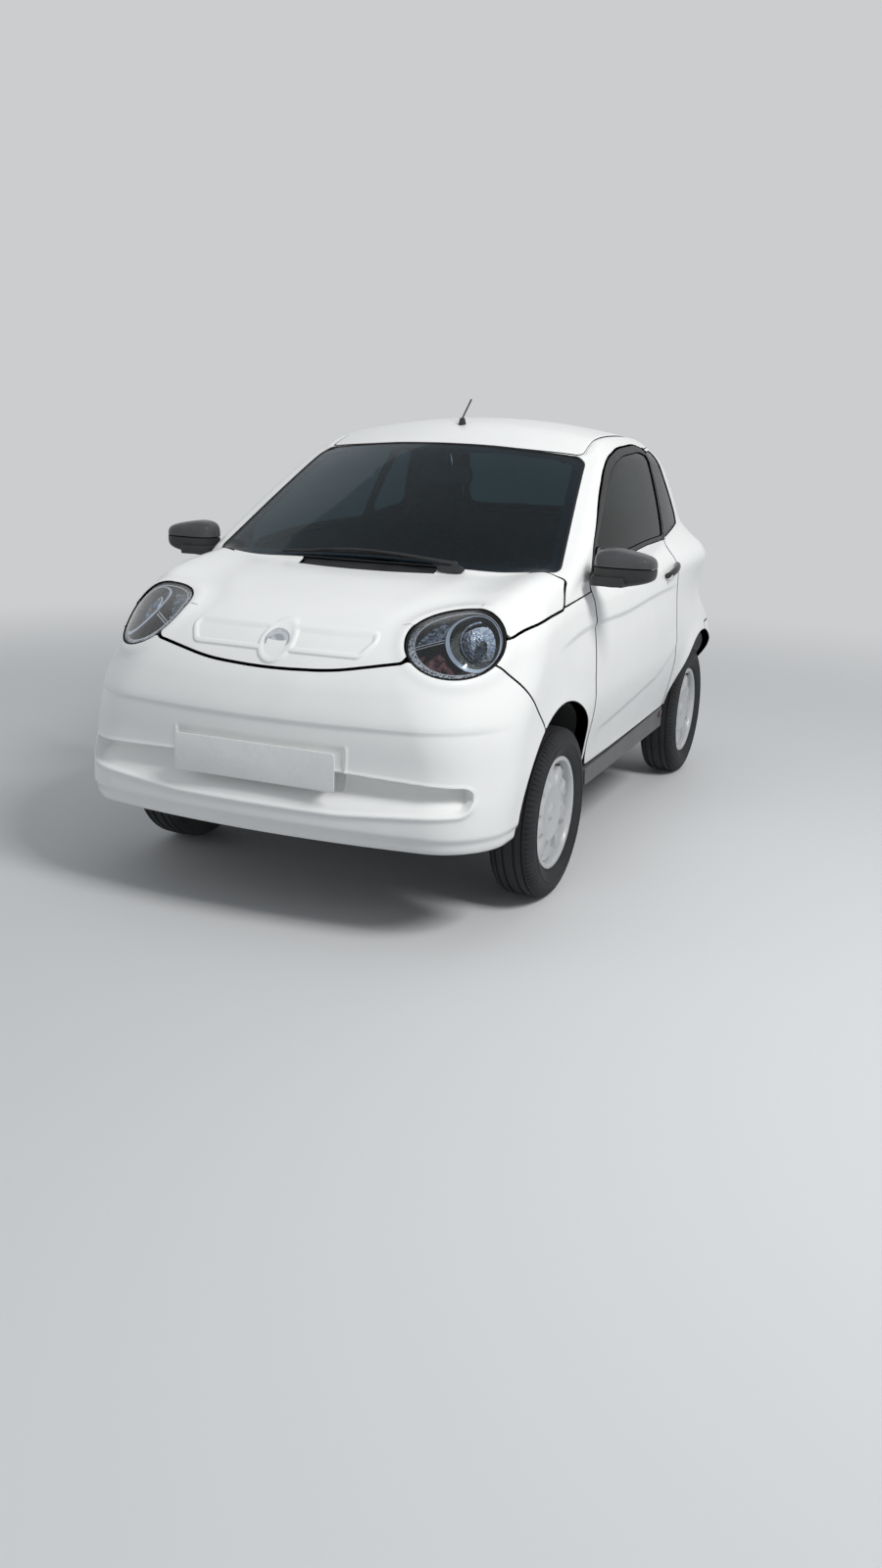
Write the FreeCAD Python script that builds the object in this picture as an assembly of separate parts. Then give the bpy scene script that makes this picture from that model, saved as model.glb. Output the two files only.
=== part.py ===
import FreeCAD, Part
import math
import os
from bisect import bisect_right
from FreeCAD import Vector

# Two-door microcar with four wheels, opening doors, bonnet and tailgate.
# Frame: origin on the ground under the middle of the car, the nose points to -Y,
# the left side of the car is +X, +Z is up. Millimetres.

# Overall sizes
LENGTH = 2750.0
WIDTH = 1450.0
HEIGHT = 1440.0
WHEELBASE = 1720.0
FRONT_OVERHANG = 648.0
UNDERSIDE_Z = 262.0

# Wheels
TYRE_RADIUS = 266.6
TYRE_WIDTH = 145.0
RIM_SEAT_RADIUS = 165.0
RIM_FLANGE_RADIUS = 178.0
RIM_WIDTH = 118.0
WHEEL_INSET = 93.0
KINGPIN_OFFSET = 100.0
RIM_WINDOW_COUNT = 10
WINDOW_WIDTH = 28.0
WINDOW_INNER = 98.0
WINDOW_OUTER = 140.0
ARCH_RADIUS = 345.0

# Panels
DOOR_THICKNESS = 48.0
FRAME_THICKNESS = 26.0
WING_THICKNESS = 24.0
BUMPER_THICKNESS = 30.0
BONNET_THICKNESS = 18.0
ROOF_THICKNESS = 28.0
GLASS_THICKNESS = 4.0
GLASS_DEPTH = 4.0
PANEL_GAP = 5.0
SEAT_GAP = 0.3

# Heights of the main body lines
BELT_FRONT_Z = 941.0
BELT_REAR_Z = 1011.0
SILL_TOP_FRONT_Z = 322.0
SILL_TOP_REAR_Z = 344.0
BUMPER_TOP_Z = 737.0
REAR_BUMPER_TOP_Z = 640.0

# Places worked out from the sizes above
HALF_WIDTH = WIDTH / 2.0
NOSE_Y = -LENGTH / 2.0
TAIL_Y = LENGTH / 2.0
FRONT_AXLE_Y = NOSE_Y + FRONT_OVERHANG
REAR_AXLE_Y = FRONT_AXLE_Y + WHEELBASE
HUB_Z = TYRE_RADIUS
WHEEL_X = HALF_WIDTH - WHEEL_INSET
KINGPIN_X = WHEEL_X - KINGPIN_OFFSET

# The form, the outlines and the structure are drawn at these sizes and carried to the sizes above
DRAWN_HALF_WIDTH = 725.0
DRAWN_HEIGHT = 1440.0
DRAWN_NOSE_Y = -1375.0
DRAWN_FRONT_AXLE_Y = -727.0
DRAWN_REAR_AXLE_Y = 993.0
DRAWN_TAIL_Y = 1375.0
CARRIED = [(DRAWN_NOSE_Y, NOSE_Y), (DRAWN_FRONT_AXLE_Y, FRONT_AXLE_Y), (DRAWN_REAR_AXLE_Y, REAR_AXLE_Y),
           (DRAWN_TAIL_Y, TAIL_Y)]


def across(x):
    return x * HALF_WIDTH / DRAWN_HALF_WIDTH


def along(y):
    """Nose, axles and tail keep their places, what lies between is spread evenly."""
    start, end = CARRIED[0], CARRIED[1]
    if y > DRAWN_FRONT_AXLE_Y:
        start, end = CARRIED[1], CARRIED[2]
    if y > DRAWN_REAR_AXLE_Y:
        start, end = CARRIED[2], CARRIED[3]
    return start[1] + (y - start[0]) * (end[1] - start[1]) / (end[0] - start[0])


def up(z):
    return z * HEIGHT / DRAWN_HEIGHT


def place(point):
    """A drawn point at its place on the car."""
    return Vector(across(point[0]), along(point[1]), up(point[2]))


def spline(rows):
    """Natural cubic through (place, value) rows, straight beyond its ends."""
    place = [row[0] for row in rows]
    value = [row[1] for row in rows]
    last = len(rows) - 1
    gap = [place[i + 1] - place[i] for i in range(last)]
    slope = [(value[i + 1] - value[i]) / gap[i] for i in range(last)]
    bend = [0.0] * (last + 1)
    upper = [0.0] * (last + 1)
    right = [0.0] * (last + 1)
    for i in range(1, last):
        pivot = 2.0 * (gap[i - 1] + gap[i]) - gap[i - 1] * upper[i - 1]
        upper[i] = gap[i] / pivot
        right[i] = (6.0 * (slope[i] - slope[i - 1]) - gap[i - 1] * right[i - 1]) / pivot
    for i in range(last - 1, 0, -1):
        bend[i] = right[i] - upper[i] * bend[i + 1]
    start = slope[0] - gap[0] * (2.0 * bend[0] + bend[1]) / 6.0
    end = slope[-1] + gap[-1] * (bend[-2] + 2.0 * bend[-1]) / 6.0

    def curve(t):
        if t <= place[0]:
            return value[0] + start * (t - place[0])
        if t >= place[last]:
            return value[last] + end * (t - place[last])
        i = min(bisect_right(place, t) - 1, last - 1)
        a = t - place[i]
        b = place[i + 1] - t
        h = gap[i]
        bow = (bend[i] * b ** 3 + bend[i + 1] * a ** 3) / (6.0 * h)
        left = value[i] / h - bend[i] * h / 6.0
        ahead = value[i + 1] / h - bend[i + 1] * h / 6.0
        return bow + left * b + ahead * a

    return curve


def ease(t, low, high):
    """0 below low, 1 above high, smooth between."""
    s = min(max((t - low) / (high - low), 0.0), 1.0)
    return s * s * (3.0 - 2.0 * s)


def hill(t, centre, half):
    return math.exp(-((t - centre) / half) ** 2)


def both(a, b, radius):
    """Intersection of two level fields with a rounded edge."""
    if a > -radius and b > -radius:
        return math.hypot(a + radius, b + radius) - radius
    return max(a, b)


def either(a, b, radius):
    """Union of two level fields with a fillet."""
    return -both(-a, -b, radius)


# Body form, in tables of (place, value), as drawn
WIDE = DRAWN_HALF_WIDTH
TALL = DRAWN_HEIGHT
FORE = DRAWN_NOSE_Y
AFT = DRAWN_TAIL_Y
# Half width along the car: y, x
PLAN = spline([(FORE - 25, WIDE - 45), (-1000, WIDE - 28), (-710, WIDE - 27),
               (-465, WIDE - 19), (0, WIDE - 6), (500, WIDE - 1),
               (1010, WIDE - 2), (1200, WIDE - 11), (AFT + 25, WIDE - 35)])
# Bulge of the flank up the side: z, x added
FLANK = spline([(150, -45), (280, -14), (400, 0), (520, 2), (660, 0), (800, -8), (900, -20),
                (1000, -42), (1100, -75)])
# Nose on the centre line: z, y
NOSE = spline([(200, FORE + 45), (270, FORE + 13), (350, FORE), (410, FORE + 7),
               (490, FORE + 23), (605, FORE + 30), (735, FORE + 77), (820, FORE + 113),
               (950, FORE + 175)])
# Tail on the centre line: z, y
TAIL = spline([(200, AFT - 45), (300, AFT - 9), (420, AFT), (600, AFT - 7),
               (800, AFT - 23), (950, AFT - 45), (1100, AFT - 85)])
# Bonnet and shoulder line along the car: y, z
DECK = spline([(FORE - 25, 745), (-1234, 825), (-1100, 877), (-900, 930), (-680, 966), (-450, 984),
               (0, 1000), (600, 1012), (1000, 1030), (AFT + 25, 1015)])
# Rounding of the nose corners in plan: z, radius
CORNER = spline([(200, 150), (350, 170), (600, 225), (800, 330), (1000, 340)])
# Half width of the glasshouse at the belt: y, x
CABIN = spline([(-800, WIDE - 75), (-600, WIDE - 60), (-300, WIDE - 53),
                (0, WIDE - 53), (300, WIDE - 59), (600, WIDE - 70),
                (900, WIDE - 93), (1200, WIDE - 135), (1400, WIDE - 170)])
# Roof on the centre line: y, z
ROOF = spline([(-300, TALL - 170), (-100, TALL - 74), (73, TALL - 24), (250, TALL - 4),
               (400, TALL), (700, TALL - 12), (900, TALL - 40), (1050, TALL - 78),
               (1250, TALL - 150)])
# Windscreen on the centre line: z, y
SCREEN = spline([(900, -795), (966, -690), (1100, -498), (1250, -273), (1358, -105), (1450, 45)])
# Rear window on the centre line: z, y
BACKLIGHT = spline([(950, AFT - 90), (1050, AFT - 130), (1150, AFT - 188),
                    (1250, AFT - 257), (1350, AFT - 340), (1450, AFT - 440)])

DRAWN_HUB_Z = HUB_Z * DRAWN_HEIGHT / HEIGHT
NOSE_BOW = 6500.0
TAIL_BOW = 4000.0
ROOF_BOW = 4200.0
DECK_EDGE_RADIUS = 95.0
TAIL_CORNER_RADIUS = 260.0
ROOF_EDGE_RADIUS = 70.0
PILLAR_RADIUS = 35.0


def level(x, y, z):
    """Below zero inside the drawn outer form, zero on its surface, roughly in millimetres."""
    x = abs(x)
    wheel_front = math.hypot(y - DRAWN_FRONT_AXLE_Y, z - DRAWN_HUB_Z)
    wheel_rear = math.hypot(y - DRAWN_REAR_AXLE_Y, z - DRAWN_HUB_Z)
    flare = (5.0 * hill(wheel_front, 315, 60) + 16.0 * hill(wheel_rear, 315, 65)) * ease(z, 380, 520)
    tuck = 46.0 * (1.0 - ease(z, 330, 600)) * ease(y, -600, -420) * (1.0 - ease(y, 700, 860))
    haunch = 38.0 * hill(z, 965, 95) * ease(y, 250, 950)
    waist = 12.0 * hill(z, 770, 90) * ease(y, 500, 1000)
    flank = x - (PLAN(y) + FLANK(z) + flare + haunch - tuck - waist)
    nose = NOSE(z) + x * x / NOSE_BOW - y
    tail = y - TAIL(z) + x * x / TAIL_BOW
    crest = 22.0 * hill(x, 585, 110) * ease(y, -1150, -900) * (1.0 - ease(y, -500, -300))
    deck = z - (DECK(y) - x * x / 40000.0 + crest - 20.0 * ease(x, 560, 760))
    lower = both(flank, nose, CORNER(z))
    lower = both(lower, tail, TAIL_CORNER_RADIUS)
    lower = both(lower, deck, DECK_EDGE_RADIUS)
    lower = both(lower, UNDERSIDE_Z + 6.0 - z, 25.0)
    if z < 880.0:
        return lower
    rise = z - 1000.0
    rise = 0.5 * (rise + math.hypot(rise, 60.0))
    side = (x - (CABIN(y) - 0.27 * rise - 0.00022 * rise * rise)) * 0.95
    wrap = 2.27e-4 + 2.69e-4 * min(max((z - 986.0) / 342.0, 0.0), 1.2)
    screen = (SCREEN(z) + x * x * wrap - y) * 0.56
    roof = z - ROOF(y) + x * x / ROOF_BOW
    rear = (y - BACKLIGHT(z) + x * x / 3200.0) * 0.8
    upper = both(side, screen, PILLAR_RADIUS)
    upper = both(upper, rear, 110.0)
    upper = both(upper, roof, ROOF_EDGE_RADIUS)
    upper = max(upper, 900.0 - z)
    return either(lower, upper, 12.0 + 50.0 * ease(y, 300, 900))


def reach(origin, aim):
    """Distance from an inner point along a unit direction to the body surface."""
    near = 0.0
    far = 100.0
    while level(*(origin + aim * far)) < 0.0 and far < 1500.0:
        near = far
        far += 100.0
    for _ in range(18):
        middle = 0.5 * (near + far)
        if level(*(origin + aim * middle)) < 0.0:
            near = middle
        else:
            far = middle
    return 0.5 * (near + far)


def spread(low, high, count):
    return [low + (high - low) * i / (count - 1) for i in range(count)]


def turn(degrees):
    return math.cos(math.radians(degrees)), math.sin(math.radians(degrees))


# Ways to aim at the surface: each takes two coordinates and gives a point inside and a direction
def aim_side(y, degrees):
    cos, sin = turn(degrees)
    return Vector(250, y, 700), Vector(cos, 0, sin)


def aim_plan(centre_y):
    def aim(degrees, z):
        cos, sin = turn(degrees)
        return Vector(0, centre_y, z), Vector(cos, sin, 0)
    return aim


def aim_ball(centre_y, centre_z):
    def aim(sideways, tilt):
        side_cos, side_sin = turn(sideways)
        tilt_cos, tilt_sin = turn(tilt)
        direction = Vector(side_sin, side_cos * tilt_sin, side_cos * tilt_cos)
        return Vector(0, centre_y, centre_z), direction
    return aim


def aim_up(x, y):
    return Vector(x, y, 1100), Vector(0, 0, 1)


def aim_back(x, z):
    return Vector(x, 700, z), Vector(0, 1, 0)


SCREEN_SLOPE = 33.6
SCREEN_CENTRE = Vector(0, -395, 1162)
SCREEN_ALONG = Vector(0, turn(SCREEN_SLOPE)[0], turn(SCREEN_SLOPE)[1])
SCREEN_NORMAL = Vector(0, -turn(SCREEN_SLOPE)[1], turn(SCREEN_SLOPE)[0])


def aim_screen(x, s):
    return SCREEN_CENTRE + Vector(x, 0, 0) + SCREEN_ALONG * s - SCREEN_NORMAL * 260.0, SCREEN_NORMAL


def surface(rows):
    face = Part.BSplineSurface()
    face.interpolate(rows)
    return face.toShape()


def skin(aim, first, second, outer_depth, inner_depth):
    """Closed plate that follows the body surface between two depths along its aim lines.
    The inner depth may be a function of the two coordinates."""
    outer = []
    inner = []
    for u in first:
        outer_row = []
        inner_row = []
        for v in second:
            origin, direction = aim(u, v)
            distance = reach(origin, direction)
            spot = place(origin + direction * distance)
            outer_row.append(spot - direction * outer_depth)
            depth = inner_depth(u, v) if callable(inner_depth) else inner_depth
            inner_row.append(spot - direction * depth)
        outer.append(outer_row)
        inner.append(inner_row)
    top = surface(outer)
    base = surface(inner)
    faces = [top, base]
    for edge in top.Edges:
        middle = edge.valueAt(0.5 * (edge.FirstParameter + edge.LastParameter))
        mate = min(base.Edges, key=lambda other: other.valueAt(
            0.5 * (other.FirstParameter + other.LastParameter)).distanceToPoint(middle))
        faces.append(Part.makeRuledSurface(edge, mate))
    shell = Part.makeShell(faces)
    shell.sewShape()
    solid = Part.makeSolid(Part.Shell(shell.Faces))
    if solid.Volume < 0:
        solid.reverse()
    return solid


def corners(points, radius=0.0):
    """Closed outline: straight runs between the points, corners rounded where the runs allow."""
    edges = []
    count = len(points)
    starts = []
    for i in range(count):
        before = Vector(*points[i - 1][:2], 0)
        here = Vector(*points[i][:2], 0)
        after = Vector(*points[(i + 1) % count][:2], 0)
        wanted = points[i][2] if len(points[i]) > 2 else radius
        back = before - here
        ahead = after - here
        half = 0.5 * (math.pi - back.getAngle(ahead))
        room = 0.49 * min(back.Length, ahead.Length)
        cut = min(wanted * math.tan(half), room)
        if cut < 0.5 or half < 0.002:
            starts.append((here, here, None))
            continue
        back.normalize()
        ahead.normalize()
        lead = here + back * cut
        tail = here + ahead * cut
        bisector = (back + ahead).normalize()
        size = cut / math.tan(half)
        middle = here + bisector * (size / math.cos(half) - size)
        starts.append((lead, tail, middle))
    for i in range(count):
        lead, tail, middle = starts[i]
        if middle is not None:
            edges.append(Part.Arc(lead, middle, tail).toShape())
        following = starts[(i + 1) % count][0]
        if tail.distanceToPoint(following) > 0.01:
            edges.append(Part.LineSegment(tail, following).toShape())
    return Part.Wire(edges)


def grow(points, distance):
    """Outline moved outwards by a distance, or inwards when it is negative."""
    count = len(points)
    area = sum(points[i - 1][0] * points[i][1] - points[i][0] * points[i - 1][1] for i in range(count))
    sign = 1.0 if area > 0 else -1.0
    moved = []
    for i in range(count):
        before = Vector(*points[i - 1][:2], 0)
        here = Vector(*points[i][:2], 0)
        after = Vector(*points[(i + 1) % count][:2], 0)
        run_in = (here - before).normalize()
        run_out = (after - here).normalize()
        normal_in = Vector(run_in.y, -run_in.x, 0) * sign
        normal_out = Vector(run_out.y, -run_out.x, 0) * sign
        shift = (normal_in + normal_out) * (distance / (1.0 + normal_in.dot(normal_out)))
        spot = here + shift
        moved.append((spot.x, spot.y) + tuple(points[i][2:]))
    return moved


def prism(points, plane, low, high, radius=0.0):
    """Drawn outline carried to its place and pushed along the axis that its plane leaves out."""
    carry = {"x": across, "y": along, "z": up}
    first, second = plane
    third = "xyz".replace(first, "").replace(second, "")
    moved = [(carry[first](point[0]), carry[second](point[1])) + tuple(point[2:]) for point in points]
    return slab(moved, plane, carry[third](low), carry[third](high), radius)


def slab(points, plane, low, high, radius=0.0):
    """Outline pushed along the axis that its plane leaves out, from low to high."""
    face = Part.Face(corners(points, radius))
    if plane == "xy":
        face.translate(Vector(0, 0, low))
        return face.extrude(Vector(0, 0, high - low))
    if plane == "xz":
        face.rotate(Vector(0, 0, 0), Vector(1, 0, 0), 90)
        face.translate(Vector(0, low, 0))
        return face.extrude(Vector(0, high - low, 0))
    face.rotate(Vector(0, 0, 0), Vector(1, 0, 0), 90)
    face.rotate(Vector(0, 0, 0), Vector(0, 0, 1), 90)
    face.translate(Vector(low, 0, 0))
    return face.extrude(Vector(high - low, 0, 0))


def block(x0, x1, y0, y1, z0, z1):
    return Part.makeBox(x1 - x0, y1 - y0, z1 - z0, Vector(x0, y0, z0))


def box(x0, x1, y0, y1, z0, z1):
    """Box between drawn places."""
    return block(across(x0), across(x1), along(y0), along(y1), up(z0), up(z1))


def rod(start, end, radius):
    start = Vector(*start)
    along = Vector(*end) - start
    return Part.makeCylinder(radius, along.Length, start, along)


def pipe(start, end, radius, bore):
    start = Vector(*start)
    along = Vector(*end) - start
    outer = Part.makeCylinder(radius, along.Length, start, along)
    return outer.cut(Part.makeCylinder(bore, along.Length, start, along))


def fuse(shapes):
    return shapes[0].multiFuse(shapes[1:]).removeSplitter() if len(shapes) > 1 else shapes[0]


def trim(shape, tools):
    for tool in tools:
        shape = shape.cut(tool)
    return shape


def lifted(shape, height):
    moved = shape.copy()
    moved.translate(Vector(0, 0, height))
    return moved


def mirrored(shape):
    return shape.mirror(Vector(0, 0, 0), Vector(1, 0, 0))


def pair(shape):
    return Part.makeCompound([shape, mirrored(shape)])


def single(shape):
    """Only the largest solid of a cut piece."""
    return max(shape.Solids, key=lambda solid: solid.Volume)


# Outlines in side view (y, z, corner radius)
DOOR_LOWER = [(-345, SILL_TOP_FRONT_Z + 4, 20), (640, SILL_TOP_REAR_Z + 8, 25), (578, 600, 400),
              (565, 760, 300), (565, BELT_REAR_Z, 0), (281, BELT_REAR_Z - 1, 900), (-9, 997, 1500),
              (-437, BELT_FRONT_Z, 0), (-437, 640, 250), (-400, 440, 250)]
DOOR_UPPER = [(-437, BELT_FRONT_Z, 0), (-9, 997, 1500), (281, BELT_REAR_Z - 1, 900),
              (565, BELT_REAR_Z, 0), (650, 1340, 30), (530, 1357, 900), (247, 1345, 900),
              (71, 1314, 600), (-34, 1277, 900), (-192, 1187, 1500), (-386, 1045, 900)]
DOOR_WHOLE = DOOR_LOWER[:4] + DOOR_UPPER[3:] + DOOR_LOWER[7:]
DOOR_GLASS = [(-322, 975, 8), (-9, 1015, 1500), (281, 1027, 900), (550, 1029, 20), (626, 1316, 22),
              (530, 1332, 900), (247, 1320, 900), (80, 1290, 600), (-25, 1253, 900),
              (-182, 1163, 1500), (-322, 1060, 25)]
QUARTER_GLASS = [(578, 1016, 15), (664, 1330, 18), (800, 1334, 60), (903, 1060, 30)]


def door_cut():
    return prism(grow(DOOR_WHOLE, PANEL_GAP), "yz", 300, 900)


def arch_cut(axle_y):
    return Part.makeCylinder(ARCH_RADIUS, 600, Vector(across(350), axle_y, HUB_Z), Vector(1, 0, 0))


# Windscreen outline on its slope (x, s)
SCREEN_OUTLINE = [(-612, -262, 45), (-420, -300, 900), (0, -322, 3000), (420, -300, 900), (612, -262, 45),
                  (499, 398, 55), (300, 370, 900), (0, 356, 3000), (-300, 370, 900), (-499, 398, 55)]


def screen_prism(margin, low, high):
    run = place(SCREEN_CENTRE + SCREEN_ALONG) - place(SCREEN_CENTRE)
    normal = Vector(0, -run.z, run.y).normalize()
    outline = [(across(x), s * run.Length, radius) for x, s, radius in grow(SCREEN_OUTLINE, margin)]
    face = Part.Face(corners(outline))
    face.rotate(Vector(0, 0, 0), Vector(1, 0, 0), math.degrees(math.atan2(run.z, run.y)))
    face.translate(place(SCREEN_CENTRE) + normal * low)
    return face.extrude(normal * (high - low))


# Top view outlines (x, y, corner radius)
ROOF_REAR_Y = 950.0
ROOF_OUTLINE = [(-484, -6, 30), (-300, -62, 900), (0, -92, 3000), (300, -62, 900), (484, -6, 30),
                (468, 237, 1500), (450, 600, 1500), (424, ROOF_REAR_Y, 20), (200, ROOF_REAR_Y + 16, 1500),
                (-200, ROOF_REAR_Y + 16, 1500), (-424, ROOF_REAR_Y, 20), (-450, 600, 1500), (-468, 237, 1500)]
BONNET_OUTLINE = [(0, -1292, 3000), (200, -1281, 900), (392, -1238, 40), (374, -1080, 120), (440, -980, 110),
                  (545, -978, 110), (622, -1030, 30), (652, -944, 200), (668, -829, 300), (674, -726, 60),
                  (662, -664, 60), (636, -592, 20), (400, -664, 900), (0, -728, 3000), (-400, -664, 900),
                  (-636, -592, 20), (-662, -664, 60), (-674, -726, 60), (-668, -829, 300), (-652, -944, 200),
                  (-622, -1030, 30), (-545, -978, 110), (-440, -980, 110), (-374, -1080, 120),
                  (-392, -1238, 40), (-200, -1281, 900)]

# Headlamp: an oval seen along its own axis
LAMP_CENTRE = Vector(494, -1097, 820)
LAMP_AIM = Vector(0.24, -0.76, 0.60).normalize()
LAMP_LENGTH = 283.0
LAMP_HEIGHT = 246.0
LAMP_TILT = 38.0


def lamp_prism(margin, low, high):
    side = LAMP_AIM.cross(Vector(0, 0, 1)).normalize() * -1.0
    up = side.cross(LAMP_AIM).normalize() * -1.0
    if up.z < 0:
        up = up * -1.0
    if side.x < 0:
        side = side * -1.0
    tilt_cos, tilt_sin = turn(LAMP_TILT)
    major = side * tilt_cos + up * tilt_sin
    minor = LAMP_AIM.cross(major)
    centre = place(LAMP_CENTRE) + LAMP_AIM * low
    oval = Part.Ellipse(centre + major * (LAMP_LENGTH / 2.0 + margin),
                        centre + minor * (LAMP_HEIGHT / 2.0 + margin), centre)
    return Part.Face(Part.Wire([oval.toShape()])).extrude(LAMP_AIM * (high - low))


def build_door():
    plate = skin(aim_side, spread(-500, 700, 13), spread(-48, 34, 9), 0.0, DOOR_THICKNESS)
    return single(plate.common(prism(DOOR_LOWER, "yz", 300, 900)))


def build_door_frame():
    plate = skin(aim_side, spread(-500, 700, 13), spread(18, 76, 9), 0.0, FRAME_THICKNESS)
    frame = plate.common(prism(DOOR_UPPER, "yz", 300, 900))
    frame = frame.cut(prism(DOOR_GLASS, "yz", 300, 900))
    frame.translate(Vector(0, 0, SEAT_GAP))
    return single(frame)


GLASS_INSIDE = GLASS_DEPTH + GLASS_THICKNESS


def build_door_glass():
    pane = skin(aim_side, spread(-500, 700, 13), spread(18, 76, 9), GLASS_DEPTH, GLASS_INSIDE)
    pane = pane.common(prism(grow(DOOR_GLASS, -SEAT_GAP), "yz", 300, 900))
    pane.translate(Vector(0, 0, SEAT_GAP))
    return single(pane)


def roof_cut(margin):
    return prism(grow(ROOF_OUTLINE, margin), "xy", 1250, 1500)


RAIL_OUTLINE = [(-720, 894, 0), (-446, 917, 0), (-446, 930, 0), (560, 1200, 0), (670, 1342, 0),
                (830, 1346, 0), (1010, 1376, 0), (1010, 1500, 0), (-720, 1500, 0)]
QUARTER_OUTLINE = [(560, 352, 0), (1420, 352, 0), (1420, 1420, 0), (1010, 1374, 0), (830, 1344, 0),
                   (670, 1340, 0), (555, 1200, 0)]
# Tailgate outline in rear view (x, z, corner radius)
TAILGATE_OUTLINE = [(-500, REAR_BUMPER_TOP_Z + 4, 40), (500, REAR_BUMPER_TOP_Z + 4, 40), (516, 960, 200),
                    (470, 1180, 900), (404, 1420, 60), (-404, 1420, 60), (-470, 1180, 900), (-516, 960, 200)]
REAR_GLASS = [(-450, 1050, 60), (450, 1050, 60), (384, 1335, 60), (-384, 1335, 60)]
TAIL_LAMP = [(530, 700, 40), (622, 700, 40), (612, 930, 50), (528, 930, 40)]


def tailgate_prism(margin):
    return prism(grow(TAILGATE_OUTLINE, margin), "xz", ROOF_REAR_Y + 22 - margin, 1500)


def build_rail():
    plate = skin(aim_side, spread(-730, 1020, 18), spread(14, 92, 12), 0.0, FRAME_THICKNESS + 6)
    rail = plate.common(prism(RAIL_OUTLINE, "yz", 200, 900))
    tools = [door_cut(), screen_prism(SEAT_GAP, -160, 80), roof_cut(PANEL_GAP - 2),
             prism(QUARTER_GLASS, "yz", 300, 900), tailgate_prism(PANEL_GAP),
             prism(BONNET_CUT, "xy", 500, 1500),
             box(-600, COWL_HALF_WIDTH + 2, -800, -480, 800, 1000)]
    return single(trim(rail, tools))


def rear_bumper_prism(margin):
    return box(-900, 900, DRAWN_REAR_AXLE_Y + 60 - margin, 1500, 200, REAR_BUMPER_TOP_Z + margin)


BONNET_CUT = grow(BONNET_OUTLINE, PANEL_GAP)


def build_quarter():
    plate = skin(aim_plan(820), spread(-32, 76, 14), spread(330, 1382, 16), 0.0, 34.0)
    piece = plate.common(prism(QUARTER_OUTLINE, "yz", 300, 900))
    tools = [door_cut(), prism(QUARTER_GLASS, "yz", 300, 900), tailgate_prism(PANEL_GAP),
             rear_bumper_prism(2.0), arch_cut(REAR_AXLE_Y), roof_cut(PANEL_GAP - 2),
             prism(grow(TAIL_LAMP, SEAT_GAP), "xz", 900, 1500)]
    return single(trim(piece, tools))


def build_quarter_glass():
    pane = skin(aim_plan(820), spread(-32, 40, 10), spread(980, 1382, 9), GLASS_DEPTH, GLASS_INSIDE)
    return single(pane.common(prism(grow(QUARTER_GLASS, -SEAT_GAP), "yz", 300, 900)))


def build_wing():
    plate = skin(wing_aim, spread(-1200, -380, 12), spread(-52, 98, 13), 0.0, WING_THICKNESS)
    keep = prism([(-1120, 790, 0), (-1102, 777, 0), (-1051, 724, 0), (-1006, 673, 0), (-918, 590, 0),
                  (-900, 560, 0), (-560, 250, 0), (-340, 250, 0), (-340, SILL_TOP_FRONT_Z, 0),
                  (-441, 640, 0), (-441, 917, 0), (-690, 895, 0), (-700, 1000, 0), (-1120, 1000, 0)],
                 "yz", 200, 900)
    wing = plate.common(keep)
    tools = [prism(BONNET_CUT, "xy", 500, 1500), lamp_prism(2.0, -300, 200), door_cut(),
             arch_cut(FRONT_AXLE_Y)]
    return single(trim(wing, tools))


def wing_aim(y, degrees):
    cos, sin = turn(degrees)
    return Vector(300, y, 560), Vector(cos, 0, sin)


PLATE_WIDTH = 520.0
PLATE_HEIGHT = 110.0
PLATE_Z = 486.0
PLATE_FACE_Y = -1372.0
PLATE_REACH = 42.0
SLOT_OUTLINE = [(-634, 462, 26), (-260, 480, 300), (260, 480, 300), (634, 462, 26), (612, 396, 30),
                (260, 372, 300), (-260, 372, 300), (-612, 396, 30)]
SLOT_TOP_Z = 470.0
SLOT_LIP_Z = 376.0
SLOT_DEPTH = 48.0
SLOT_LIP_DEPTH = 4.0
SLOT_WALL = 8.0
CARRIER_DEPTH = 7.0
CARRIER_MARGIN = 14.0
BUMPER_OUTLINE = [(0, BUMPER_TOP_Z, 3000), (200, 746, 900), (392, 780, 20), (430, 800, 0), (760, 800, 0),
                  (760, 200, 0), (-760, 200, 0), (-760, 800, 0), (-430, 800, 0), (-392, 780, 20),
                  (-200, 746, 900)]
BUMPER_SIDE = [(-1500, 200), (-1070, 200), (-900, 560), (-922, 590), (-1010, 673), (-1055, 724),
               (-1106, 777), (-1124, 790), (-1124, 900), (-1500, 900)]


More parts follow.
